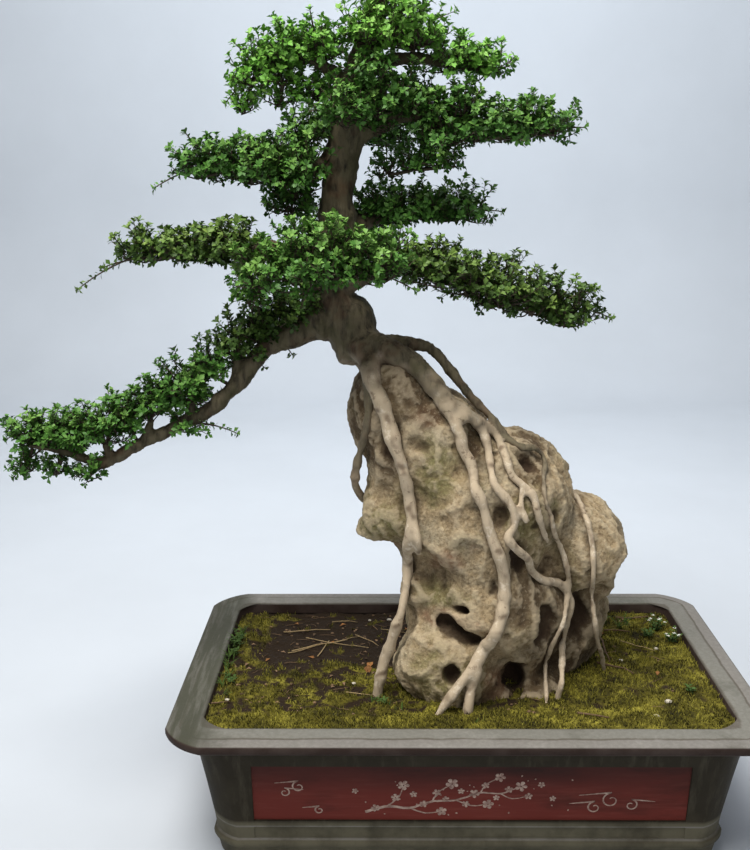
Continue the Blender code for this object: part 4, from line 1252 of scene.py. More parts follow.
@dataclass
class Stone:
    """The pitted limestone, grown from the same masses as the frame's own solid."""

    skin: float = 4.0 * MM
    fine: float = 2.55 * MM
    scoop_spacing: float = 46.0 * MM
    scoop_depth: float = 11.0 * MM
    bulge_spacing: float = 85.0 * MM
    bulge_depth: float = 7.0 * MM
    # Centre, then half sizes, in millimetres
    masses: tuple[tuple[Point, Point], ...] = (
        ((-72, -18, 438), (55, 50, 64)), ((-38, -25, 394), (70, 60, 76)),
        ((52, -12, 371), (53, 50, 46)), ((15, -30, 335), (92, 72, 88)),
        ((117, 0, 290), (64, 62, 54)), ((-72, -32, 343), (40, 42, 34)),
        ((25, -30, 230), (88, 70, 92)), ((-48, -50, 257), (24, 26, 22)),
        ((-14, -56, 173), (60, 55, 66)), ((100, 8, 203), (54, 52, 88)),
        ((30, -22, 137), (90, 78, 46)), ((148, -4, 264), (25, 32, 32)),
        ((-92, -24, 318), (24, 30, 15)), ((132, 10, 200), (26, 26, 60)),
    )
    # Place across and up, half sizes, and tilt in degrees
    hollows: tuple[tuple[tuple[float, float], Point, float], ...] = (
        ((-14, 229), (30, 26, 9), -24), ((-16, 187), (7, 24, 11), 8), ((50, 168), (13, 30, 16), 0),
        ((-14, 251), (46, 12, 5), -4), ((-60, 262), (10, 14, 7), -30), ((52, 298), (12, 17, 23), 12),
        ((86, 222), (18, 13, 38), 6), ((124, 220), (15, 15, 34), 0), ((61, 402), (14, 6, 18), 12),
        ((31, 352), (8, 9, 13), -10), ((26, 276), (6, 12, 11), 0), ((-52, 455), (19, 5, 4), -8),
        ((-52, 419), (15, 6, 6), -8), ((-111, 383), (16, 40, 12), -35), ((-78, 426), (8, 12, 26), -8),
        ((66, 336), (4, 7, 4), 0), ((-34, 205), (4, 7, 6), 20), ((92, 348), (11, 6, 16), 20),
    )
    # Colour only: what stains the stone, the dark kind partly painted shade under the root crown and low on
    # the right; then places across and up with half sizes
    stains: tuple[tuple[str, tuple[tuple[float, float, float, float], ...]], ...] = (
        ("dark", (
            (-106, 436, 23, 56), (-80, 404, 14, 32), (6, 420, 9, 34), (104, 212, 46, 44), (66, 404, 18, 26),
            (-50, 474, 48, 30), (-100, 470, 24, 34), (40, 300, 10, 22), (58, 262, 16, 26), (104, 168, 52, 24),
            (-68, 250, 16, 10),
        )),
        ("mossy", (
            (-88, 330, 28, 24), (-22, 262, 22, 12), (-20, 172, 40, 34), (60, 350, 26, 26), (-34, 388, 20, 26),
        )),
        ("rust", (
            (-92, 304, 26, 9), (-22, 304, 15, 16), (-40, 448, 15, 9), (34, 168, 18, 22), (-24, 240, 26, 9),
            (40, 438, 20, 12),
        )),
    )
    # How far out a stain reaches and fades, in its half sizes, and how ragged it is
    stain_reach: float = 1.30
    stain_fade: float = 0.60
    stain_ragged: float = 0.45
    stain_spacing: tuple[float, float] = (0.011, 0.030)
    stained_to: float = 20.0
    hollow_roughness: float = 0.36
    hollow_spacing: tuple[float, float] = (0.014, 0.006)
    # Smoothing rounds, and the depth under that smoothed skin that counts as a whole cavity
    cavities: tuple[tuple[int, float], ...] = ((30, 0.0042), (160, 0.0110))
    # Spacing and depth of the relief
    scoops: tuple[float, float] = (0.046, 0.0115)
    folds: tuple[float, float] = (0.021, 0.0046)
    pits: tuple[float, float] = (0.0120, 0.0042)
    grain: tuple[float, float] = (0.0046, 0.0011)
    chips: tuple[float, float] = (0.0105, 0.0022)
    lean: float = math.radians(22.0)
    # How far from the wood the painted contact shade reaches
    contact_shade_reach: float = 6.0 * MM

    def ellipsoid(self, centre: Point, half: Point, tilt: float = 0.0) -> bpy.types.Object:
        """Make a fine ellipsoid.

        Args:
            centre: its middle, in millimetres from the pot's centre.
            half: its half sizes, in millimetres.
            tilt: its turn about the viewer's line of sight, in degrees.

        Returns:
            The ellipsoid.
        """
        bm = bmesh.new()
        shape = Matrix.Rotation(-math.radians(tilt), 4, "Y") @ Matrix.Diagonal((*half, 1000.0)) * MM
        shape = Matrix.Translation(from_pot(centre)) @ shape
        bmesh.ops.create_icosphere(bm, subdivisions=4, radius=1.0, matrix=shape)
        return from_bmesh("ellipsoid", bm)

    def roughened(self, cutter: bpy.types.Object, middle: Vector) -> bpy.types.Object:
        """Make a hollow's cutter uneven, so that its mouth has no even outline.

        Args:
            cutter: the ellipsoid.
            middle: its middle.

        Returns:
            The same ellipsoid.
        """
        broad, fine = self.hollow_spacing
        for vert in cutter.data.vertices:
            out = vert.co - middle
            change = noise.noise(vert.co / broad) + 0.6 * noise.noise(vert.co / fine)
            vert.co = middle + out * (1.0 + self.hollow_roughness * change)
        return cutter

    def whole(self) -> bpy.types.Object:
        """Return the stone's broad form, before its hollows are cut.

        Returns:
            The stone.
        """
        parts = [self.ellipsoid(centre, half) for centre, half in self.masses]
        stone = join(parts, "limestone")
        remesh(stone, self.skin)
        shifted = []
        for vert in stone.data.vertices:
            place = vert.co - POT_CENTRE
            nearest = noise.voronoi(place / self.scoop_spacing)[0][0]
            broad = noise.noise(place / self.bulge_spacing)
            shift = self.scoop_depth * (nearest - 0.55) + self.bulge_depth * broad
            shifted.append(vert.co + vert.normal * shift)
        move_points(stone, np.array(shifted))
        return stone

    def hollow(self, stone: bpy.types.Object) -> None:
        """Cut the deep hollows into the stone's front and sides.

        Args:
            stone: the stone, which is changed.
        """
        tree = search_tree(stone)
        for (across, height), half, tilt in self.hollows:
            depth = (surface_at(tree, across, height, FRONT).y - POT_CENTRE.y) / MM
            cutter = self.ellipsoid((across, depth, height), half, tilt)
            self.roughened(cutter, from_pot((across, depth, height)))
            step = stone.modifiers.new("hollow", "BOOLEAN")
            step.operation = "DIFFERENCE"
            step.object = cutter
            step.solver = "MANIFOLD"
            apply_steps(stone)
            bpy.data.objects.remove(cutter)
        remesh(stone, self.skin * 0.75)
        relax(stone, 5)

    def carve(self, stone: bpy.types.Object) -> None:
        """Weather the skin with dished scoops, folds, pits and grain."""
        remesh(stone, self.fine)
        relax(stone, 3)
        self.weather(stone, self.broad_relief)
        remesh(stone, self.fine)
        self.weather(stone, self.fine_relief)

    def weather(self, stone: bpy.types.Object, relief: Callable[[Vector], float]) -> None:
        """Move each point of the skin along its normal by a relief in metres."""
        points = rows_of(stone)
        shifts = np.array([relief(Vector(row)) for row in points])
        move_points(stone, points + rows_of(stone, "normal") * shifts[:, None])

    def broad_relief(self, place: Vector) -> float:
        """Return the depth of scoops and folds, which run down along the stone's lean.

        Args:
            place: a place on the skin.

        Returns:
            How far the skin moves out there.
        """
        scoop, scoop_deep = self.scoops
        fold, fold_deep = self.folds
        turned = Matrix.Rotation(self.lean, 3, "Y") @ place
        drawn = Vector((turned.x, turned.y, turned.z * 0.50))
        bent = drawn + 0.011 * noise.noise_vector(drawn / 0.030)
        near = noise.voronoi(bent / scoop)[0]
        crest = min(1.0, (near[1] - near[0]) * 3.0)
        ridges = 1.0 - 2.0 * abs(noise.noise(bent / fold))
        dish = (near[0] - 0.62) * (0.35 + 0.65 * crest)
        return scoop_deep * dish + fold_deep * (ridges ** 2 - 0.6) * 0.8

    def fine_relief(self, place: Vector) -> float:
        """Return the depth of pits and grain.

        Args:
            place: a place on the skin.

        Returns:
            How far the skin moves out there.
        """
        pit, pit_deep = self.pits
        grain, grain_deep = self.grain
        chip, chip_deep = self.chips
        bent = place + 0.0035 * noise.noise_vector(place / 0.009)
        distances, centres = noise.voronoi(bent / pit)
        chance = noise.cell(centres[0] * 7.31)
        width = 0.12 + 0.34 * abs(chance)
        wide = noise.noise(place / 0.034)
        open_here = held(2.4 * wide + 0.9 * chance - 0.15)
        hole = max(0.0, 1.0 - distances[0] / width) ** 0.7 * open_here
        rough = noise.noise(place / grain) + 0.7 * noise.noise(place / (grain * 0.5))
        chips = max(0.0, noise.noise(place / chip) - 0.15)
        return grain_deep * rough - pit_deep * width * 2.0 * hole - chip_deep * chips

    def hollow_share(self, places: np.ndarray, tree: BVHTree) -> np.ndarray:
        """Find how deep places lie in the hollows.

        Args:
            places: the places, one row each.
            tree: search tree over the stone before its hollows were cut.

        Returns:
            For each place a share from none (0) to well inside (1).
        """
        share = np.zeros(len(places))
        for (across, height), half, tilt in self.hollows:
            middle = np.array(surface_at(tree, across, height, FRONT))
            turn = np.array(Matrix.Rotation(math.radians(tilt), 3, "Y"))
            local = (places - middle) @ turn.T / (np.array(half) * MM)
            away = np.linalg.norm(local, axis=1)
            share = np.maximum(share, np.clip((1.50 - away) / 0.28, 0.0, 1.0))
        skins = np.array([tree.find_nearest(Vector(row))[3] for row in places])
        return share * np.clip((skins - 0.0035) / 0.0050, 0.0, 1.0)

    def note_cavities(self, stone: bpy.types.Object, tree: BVHTree) -> None:
        """Keep for each point how far it lies under the smoothed skin, or in a hollow.

        Args:
            stone: the stone.
            tree: search tree over the stone before its hollows were cut.
        """
        smooth = linked("smooth_copy", stone.data.copy())
        points = rows_of(stone)
        sunk = np.zeros(len(points))
        for times, depth in self.cavities:
            relax(smooth, times)
            sunk += np.einsum("ij,ij->i", rows_of(smooth) - points, rows_of(smooth, "normal")) / depth
        bpy.data.objects.remove(smooth)
        keep_values(stone, "cavity", np.clip(0.25 + 0.6 * sunk, 0.0, 1.0))
        keep_values(stone, "hollow", self.hollow_share(points, tree))
        self.note_stains(stone, points)

    def note_stains(self, stone: bpy.types.Object, points: np.ndarray) -> None:
        """Keep for each of the stone's points how strongly each kind of stain covers it, the dark kind partly
        painted shade.

        Args:
            stone: the stone.
            points: its points, one row each.
        """
        sizes = self.stain_spacing
        ragged = np.array([sum(noise.noise(Vector(row) / size) for size in sizes) for row in points])
        local = (points - np.array(POT_CENTRE)) / MM
        for name, patches in self.stains:
            cover = np.zeros(len(points))
            for across, height, half_x, half_z in patches:
                away = np.hypot((local[:, 0] - across) / half_x, (local[:, 2] - height) / half_z)
                share = (self.stain_reach - away + self.stain_ragged * ragged) / self.stain_fade
                share = np.clip(share, 0.0, 1.0) * (local[:, 1] < self.stained_to)
                cover = np.maximum(cover, share)
            keep_values(stone, name, cover)

    def build(self) -> tuple[bpy.types.Object, BVHTree]:
        """Build and dress the stone.

        Returns:
            The stone's piece, and a search tree over its form before the hollows were cut.
        """
        stone = self.whole()
        tree = search_tree(stone)
        self.hollow(stone)
        self.carve(stone)
        self.note_cavities(stone, tree)
        stone.data.materials.clear()
        stone.data.materials.append(Limestone().material())
        stone.data.shade_smooth()
        return dress(stone, Slot.STONE, "rock"), tree


def note_contact(item: bpy.types.Object, other: BVHTree, reach: float) -> None:
    """Keep for each point how near another body is, for the painted shade where the two meet.

    Args:
        item: the object whose points are measured.
        other: search tree over the other body.
        reach: the distance in metres beyond which no shade is painted.
    """
    nears = [other.find_nearest(Vector(row), reach)[3] for row in rows_of(item)]
    keep_values(item, "contact", np.array([0.0 if near is None else 1.0 - near / reach for near in nears]))


def join(parts: Sequence[bpy.types.Object], name: str) -> bpy.types.Object:
    """Gather several objects' meshes in one new object.

    Args:
        parts: the objects, which are removed.
        name: the new object's name.

    Returns:
        The new object.
    """
    bm = bmesh.new()
    for part in parts:
        bm.from_mesh(part.data)
        bpy.data.objects.remove(part)
    return from_bmesh(name, bm)


def surface_at(tree: BVHTree, across: float, height: float, side: Side) -> Vector:
    """Find the stone's skin from the front or the back.

    Args:
        tree: search tree over the stone.
        across: millimetres to the right of the pot's centre.
        height: millimetres above the floor.
        side: the side that the skin is looked for from.

    Returns:
        The place on the skin, or the nearest one where the stone isn't met.
    """
    start = from_pot((across, side.value * 1000.0, height))
    found = tree.ray_cast(start, Vector((0.0, -side.value, 0.0)))[0]
    return found if found is not None else tree.find_nearest(from_pot((across, 0.0, height)))[0]


Knot = tuple[float, float | Side, float, float]


@dataclass(frozen=True)
class Routes:
    """Middle lines of the wood: across, depth or side, height and radius, in millimetres."""

    trunk: tuple[Knot, ...] = (
        (-104, -16, 497, 20), (-113, -6, 512, 25), (-124, 0, 532, 25),
        (-135, 0, 568, 21), (-133, 0, 630, 19), (-126, 0, 700, 18),
        (-116, 0, 755, 16), (-94, 0, 826, 12), (-89, 0, 862, 9), (-92, 0, 894, 5),
    )
    root_crown: tuple[Knot, ...] = (
        (-124, -4, 525, 22), (-104, -18, 508, 20), (-80, -30, 502, 15), (-62, -38, 492, 12),
    )
    roots: tuple[tuple[Knot, ...], ...] = (
        (
            (-112, -18, 514, 14), (-99, -44, 493, 12), (-90, -62, 470, 10), (-83, -70, 447, 9),
            (-75, -74, 420, 8), (-66, FRONT, 396, 7.5), (-60, FRONT, 368, 7.4),
            (-57, FRONT, 340, 7.4), (-60, FRONT, 312, 6.6), (-61, FRONT, 290, 6),
            (-62, FRONT, 268, 5.6), (-68, -76, 244, 6), (-77, -75, 211, 7),
            (-86, -74, 181, 7.3), (-92, -74, 150, 7.6), (-95, -73, 112, 6.5),
        ),
        ((-56, FRONT, 344, 5), (-51, FRONT, 326, 4.6), (-50, FRONT, 306, 3.4)),
        (
            (-100, -18, 512, 15), (-78, -42, 506, 13.5), (-52, FRONT, 492, 12.5),
            (-32, FRONT, 471, 11.5), (-16, FRONT, 453, 9.5), (-4, FRONT, 440, 7),
        ),
        (
            (-30, FRONT, 462, 8), (-19, FRONT, 446, 7), (-9, FRONT, 430, 6.6),
            (-6, FRONT, 413, 6.4), (2, FRONT, 398, 6.4), (6, FRONT, 380, 6.6),
            (13, FRONT, 361, 6.2), (20, FRONT, 339, 6.6), (28, FRONT, 316, 6.8),
            (34, FRONT, 294, 6.8), (35, FRONT, 270, 7.2), (30, FRONT, 243, 7.4),
            (19, FRONT, 218, 7.2), (6, -110, 196, 7), (-11, -117, 179, 6), (-26, -121, 160, 5),
            (-36, -124, 142, 4.4), (-41, -126, 118, 4),
        ),
        ((8, -108, 196, 7), (3, -113, 176, 6.4), (-1, -118, 152, 6.2), (-4, -120, 116, 5.4)),
        (
            (-18, FRONT, 458, 7.5), (2, FRONT, 444, 6.6), (15, FRONT, 428, 5.8),
            (20, FRONT, 408, 5.2), (23, FRONT, 386, 4.9), (34, FRONT, 371, 5),
            (43, FRONT, 358, 4.8), (44, FRONT, 343, 4.6), (37, FRONT, 331, 5),
            (48, FRONT, 317, 5), (59, FRONT, 306, 4.8), (65, FRONT, 289, 4.6),
            (79, FRONT, 275, 4.8), (95, FRONT, 268, 5.4), (107, FRONT, 253, 5.2),
            (111, FRONT, 238, 4.8), (107, FRONT, 216, 4.3), (105, FRONT, 196, 4.1),
            (98, -86, 174, 4), (94, -90, 149, 3.8), (92, -92, 118, 3.6),
        ),
        (
            (4, FRONT, 444, 6), (18, FRONT, 432, 5.4), (30, FRONT, 422, 5),
            (36, FRONT, 406, 5), (41, FRONT, 391, 5), (53, FRONT, 380, 5.4),
            (63, FRONT, 370, 5.6), (67, FRONT, 354, 4.8), (73, FRONT, 336, 3.8),
            (80, FRONT, 318, 2.6),
        ),
        ((53, FRONT, 378, 4.4), (51, FRONT, 362, 3.8), (56, FRONT, 346, 3)),
        (
            (82, FRONT, 346, 3.4), (88, FRONT, 325, 3.6), (97, FRONT, 304, 3.7),
            (104, FRONT, 283, 3.7), (108, FRONT, 262, 3.5), (102, FRONT, 236, 3.4),
            (92, FRONT, 210, 3.3), (86, FRONT, 180, 3.2), (81, -98, 150, 3), (79, -102, 118, 3),
        ),
        (
            (-104, 12, 510, 9), (-70, BACK, 478, 8), (-20, BACK, 436, 7), (30, BACK, 392, 6),
            (70, BACK, 362, 5), (104, 22, 350, 4.4), (118, -6, 346, 4), (124, FRONT, 334, 3.8),
            (128, FRONT, 316, 3.6), (130, FRONT, 287, 3.6), (132, FRONT, 258, 3.4),
            (136, -52, 222, 3.4), (144, -40, 190, 3.4), (154, -24, 158, 3.2), (162, -10, 118, 3.2),
        ),
        (
            (-112, 14, 508, 12), (-98, BACK, 470, 10), (-66, BACK, 420, 8.5),
            (-40, BACK, 370, 7.5), (-28, BACK, 320, 7), (-12, BACK, 265, 6.5),
            (-20, BACK, 210, 6), (-8, 42, 160, 6), (-6, 52, 116, 5.5),
        ),
        (
            (-40, BACK, 452, 6.5), (0, BACK, 405, 6.5), (40, BACK, 350, 6),
            (78, BACK, 300, 5.6), (84, BACK, 250, 5.2), (104, BACK, 205, 5),
            (112, 68, 158, 4.5), (116, 74, 116, 4),
        ),
    )
    # Roots in the bark's darker colour instead of the pale bare skin; on the left one it stands for painted
    # shade
    dark_roots: tuple[tuple[Knot, ...], ...] = (
        (
            (-96, -12, 512, 9), (-68, -24, 514, 7.2), (-38, -26, 508, 6.2), (-17, -32, 487, 5.6),
            (-1, -36, 466, 5.4), (18, -42, 447, 5.2), (32, -48, 430, 5), (43, -54, 418, 4.8),
            (56, -57, 412, 4.4), (68, -58, 411, 3.8), (77, FRONT, 400, 3),
            (75, FRONT, 384, 2.8), (75, FRONT, 366, 2.8), (83, FRONT, 344, 2.8),
        ),
        (
            (-100, -48, 482, 7), (-100, -58, 445, 5.4), (-108, -50, 408, 5), (-114, -44, 374, 5),
            (-106, -26, 348, 4.8), (-84, BACK, 330, 4.8), (-50, BACK, 314, 4.8),
            (-28, BACK, 296, 4.4),
        ),
    )
    limbs: tuple[tuple[Knot, ...], ...] = (
        (
            (-124, -4, 532, 21), (-151, -8, 534, 17), (-182, -10, 519, 12.5), (-212, -12, 500, 10),
            (-240, -12, 467, 8.5), (-267, -12, 442, 8), (-304, -12, 424, 7), (-348, -14, 402, 6.5),
            (-384, -16, 386, 5.5), (-420, -20, 400, 4), (-458, -24, 408, 3),
        ),
        ((-240, -12, 468, 6), (-238, -11, 484, 5), (-236, -10, 497, 4)),
        ((-196, -10, 511, 7), (-192, -11, 534, 4.5)),
        ((-290, -12, 430, 5), (-286, -12, 444, 4.5), (-284, -12, 456, 3.5)),
        ((-338, -13, 408, 5), (-332, -12, 420, 4), (-328, -12, 432, 3.5)),
        ((-372, -15, 391, 5), (-378, -15, 406, 3.5)),
        ((-133, 0, 592, 10), (-180, -20, 606, 8), (-240, -38, 607, 6), (-300, -36, 603, 3.2)),
        ((-128, 0, 678, 9), (-150, -6, 688, 8), (-176, -10, 690, 6), (-240, -8, 686, 3.2)),
        ((-114, 0, 760, 8), (-140, 0, 782, 6.5), (-164, 0, 795, 5), (-206, 0, 782, 3.0)),
        ((-108, 0, 775, 8), (-72, 4, 789, 6.5), (-18, 10, 787, 5), (20, 10, 781, 2.8)),
        ((-124, 0, 705, 10), (-90, -6, 727, 8), (-54, -10, 735, 6), (4, -10, 718, 4.5), (66, -10, 718, 2.8)),
        ((-133, 2, 618, 10), (-100, 20, 633, 8), (-66, 33, 639, 6), (-10, 30, 638, 3.0)),
        (
            (-134, -2, 570, 12), (-95, -24, 584, 9), (-60, -36, 591, 7.5), (-30, -40, 590, 6),
            (26, -34, 572, 4.5), (92, -20, 550, 2.8),
        ),
        ((-134, -8, 584, 9), (-138, -50, 592, 7), (-139, -92, 600, 4.5)),
        ((-137, -44, 590, 6), (-165, -66, 594, 5), (-188, -78, 596, 3.5)),
        ((-137, -44, 590, 6), (-116, -66, 592, 5), (-98, -82, 594, 3.5)),
        ((-133, 6, 612, 9), (-142, 50, 618, 7), (-156, 96, 612, 4)),
        ((-140, 44, 617, 6), (-116, 78, 610, 4.5), (-104, 100, 606, 3.5)),
        ((-123, 6, 716, 8), (-122, 48, 728, 6), (-130, 84, 730, 3.5)),
        ((-122, 44, 727, 5), (-102, 66, 724, 4), (-86, 82, 722, 3)),
    )


@dataclass
class Wood:
    """All the tree's wood in one skin: trunk, limbs, root crown and roots."""

    step: float = 7.0
    root_step: float = 4.0
    voxel: float = 2.0 * MM
    root_lift: float = 0.70
    root_slimness: float = 0.88
    smoothing: int = 10
    sides: int = 12
    # How far from the stone the painted contact shade reaches
    contact_shade_reach: float = 2.6 * MM
    trunk_uneven: float = 0.16
    root_uneven: float = 0.24
    # Where the bark turns to bare skin: its height on the left, how it falls to the right, and its blend
    bare_below: float = 0.512
    bare_slope: float = 0.4
    bare_blend: float = 0.060
    bare_left: tuple[float, float] = (-0.158, 0.022)
    dark_from: float = 0.330
    seed: int = 5
    routes: Routes = field(default_factory=Routes)

    def laid(self, tree: BVHTree, route: Sequence[Knot]) -> np.ndarray:
        """Read a route finely, with the parts between laid knots set on the stone.

        Args:
            tree: search tree over the stone.
            route: the knots, in millimetres.

        Returns:
            Rows of place and radius, in millimetres.
        """
        knots = []
        for across, depth, height, radius in route:
            if isinstance(depth, Side):
                depth = (surface_at(tree, across, height, depth).y - POT_CENTRE.y) / MM
            knots.append((across, depth, height, radius * self.root_slimness))
        rows = curve_through(np.array(knots, float), self.root_step)
        heights = np.array(knots)[:, [0, 2]]
        laid = []
        for row in rows:
            near = np.linalg.norm(heights - row[[0, 2]], axis=1).argsort()[:2]
            sides = {route[index][1] for index in near}
            side = sides.pop() if len(sides) == 1 else None
            side = side if isinstance(side, Side) else None
            laid.append(side)
            if side:
                skin = (surface_at(tree, row[0], row[2], side).y - POT_CENTRE.y) / MM
                row[1] = skin + side.value * self.root_lift * row[3]
        for _ in range(self.smoothing):
            between = (rows[:-2, 1] + rows[2:, 1]) / 2
            for index, side in enumerate(laid[1:-1], start=1):
                if side is FRONT:
                    rows[index, 1] = min(rows[index, 1], between[index - 1])
                elif side is BACK:
                    rows[index, 1] = max(rows[index, 1], between[index - 1])
        return rows

    def stem(self, rows: np.ndarray, sheaf: Sheaf, draw: np.random.Generator, uneven: float,
             step: float) -> None:
        """Add one stem with a slightly wandering line, uneven thickness and swollen nodes.

        Args:
            rows: places and radii along it, in millimetres.
            sheaf: what it is added to.
            draw: source of random numbers.
            uneven: how much its thickness changes, as a share.
            step: the distance between two rows, in millimetres.
        """
        places = np.array([from_pot(row) for row in rows])
        radii = rows[:, 3] * MM
        phase = draw.uniform(0.0, 100.0)
        along = np.arange(len(rows)) * step
        wobble = np.array([noise.noise(Vector((place / 20.0, phase, 0.0))) for place in along])
        drift = np.array([noise.noise_vector(Vector((place / 30.0, 0.0, phase))) for place in along])
        swell = np.zeros(len(rows))
        knot = draw.uniform(8.0, 30.0)
        while knot < along[-1]:
            swell += draw.uniform(0.06, 0.24) * np.exp(-((along - knot) / 4.0) ** 2)
            knot += draw.uniform(16.0, 46.0)
        ends = np.minimum(1.0, np.minimum(np.arange(len(rows)), np.arange(len(rows))[::-1]) / 3.0)
        places += drift * (radii * 0.34 * ends)[:, None]
        sheaf.tube(places, radii * (1.0 + uneven * wobble + swell), self.sides)

    def skin(self, tree: BVHTree) -> tuple[bpy.types.Object, BVHTree]:
        """Join all the stems.

        Args:
            tree: search tree over the stone that the roots lie on.

        Returns:
            The wood before its bark is carved, and a search tree over its dark roots.
        """
        draw = np.random.default_rng(self.seed)
        dark = Sheaf()
        for route in self.routes.dark_roots:
            self.stem(self.laid(tree, route), dark, draw, self.root_uneven, self.root_step)
        dark_form = BVHTree.FromPolygons(np.concatenate(dark.points), np.concatenate(dark.faces))
        sheaf = Sheaf()
        sheaf.add(np.concatenate(dark.points), np.concatenate(dark.faces))
        for route in (self.routes.trunk, self.routes.root_crown, *self.routes.limbs):
            rows = curve_through(np.array(route, float), self.step)
            self.stem(rows, sheaf, draw, self.trunk_uneven, self.step)
        for route in self.routes.roots:
            self.stem(self.laid(tree, route), sheaf, draw, self.root_uneven, self.root_step)
        wood = sheaf.piece("tree_wood", [])
        remesh(wood, self.voxel)
        relax(wood, 3)
        return wood, dark_form

    def carve(self, wood: bpy.types.Object, dark_form: BVHTree) -> None:
        """Roughen the bark, ring the roots, and note where the skin is bare or dark.

        Args:
            wood: the joined stems.
            dark_form: search tree over the dark roots.
        """
        left, left_blend = self.bare_left
        points = rows_of(wood)
        ways = rows_of(wood, "normal")
        shifts = np.empty(len(points))
        bare = np.empty(len(points))
        shade = np.empty(len(points))
        for index, row in enumerate(points):
            place = Vector(row) - POT_CENTRE
            patchy = 0.022 * noise.noise(place / 0.012)
            low = self.bare_below + patchy - place.z - self.bare_slope * max(0.0, place.x + 0.080)
            low = held(low / self.bare_blend)
            right = held((place.x - left) / left_blend)
            # The dark roots keep the bark's colour; on the left one this is painted shade
            near = dark_form.find_nearest(Vector(row), 2.4 * MM)[3]
            dark = 0.0 if near is None else held((place.z - self.dark_from + patchy) / self.bare_blend)
            bare[index] = low * right * (1.0 - 0.85 * dark)
            tall = Vector((place.x, place.y, place.z * 0.35))
            furrow = abs(noise.noise(tall / 0.0055))
            lump = noise.noise(place / 0.016)
            ring = noise.noise(place / 0.009)
            shade[index] = max(0.0, ring - 0.20) * 2.4 * bare[index]
            rough = 1.0 - bare[index]
            shifts[index] = (
                rough * (0.0011 * (0.5 - 2.0 * furrow) + 0.0012 * lump)
                + bare[index] * (0.0011 * lump - 0.0006 * furrow)
            )
        move_points(wood, points + ways * shifts[:, None])
        keep_values(wood, "bareness", bare)
        keep_values(wood, "shade", np.clip(shade, 0.0, 1.0))

    def build(self, tree: BVHTree) -> bpy.types.Object:
        """Build and dress the wood.

        Args:
            tree: search tree over the stone that the roots lie on.

        Returns:
            The wood's piece.
        """
        wood, dark_form = self.skin(tree)
        self.carve(wood, dark_form)
        wood.data.materials.clear()
        wood.data.materials.append(Bark().material())
        wood.data.shade_smooth()
        return dress(wood, Slot.BARK, "trunk")


LEAF_ROWS = np.array(((0.0, 0.0), (0.60, -0.48), (0.50, 0.0), (0.60, 0.48), (1.0, 0.0)))
LEAF_FACES = np.array(((0, 2, 1), (0, 3, 2), (1, 2, 4), (2, 3, 4)))


@dataclass(frozen=True)
class LeafColours:
    """Tints of the leaves, from the old and shaded to the young and sunlit."""

    dark: Colour = (0.022, 0.062, 0.010)
    middle: Colour = (0.056, 0.152, 0.024)
    light: Colour = (0.155, 0.285, 0.062)
    twig: Colour = (0.050, 0.034, 0.020)

    def between(self, share: np.ndarray) -> np.ndarray:
        """Return the tint at each share from dark (0) to light (1)."""
        columns = zip(self.dark, self.middle, self.light)
        return np.stack([np.interp(share, (0.0, 0.5, 1.0), column) for column in columns], axis=-1)


VIVID = LeafColours((0.048, 0.130, 0.018), (0.112, 0.285, 0.034), (0.195, 0.360, 0.076))
OLIVE = LeafColours((0.019, 0.040, 0.009), (0.062, 0.120, 0.022), (0.180, 0.265, 0.058))


@dataclass(frozen=True)
class Mass:
    """One clump of leaves: its centre and half sizes, in millimetres from the pot's centre."""

    centre: Point
    half: Point

    def beside(self, other: "Mass", size: float) -> "Mass":
        """Return a smaller clump between this one and another."""
        centre = tuple((first + second) / 2 for first, second in zip(self.centre, other.centre))
        half = tuple(size * (first + second) / 2 for first, second in zip(self.half, other.half))
        return Mass(centre, half)


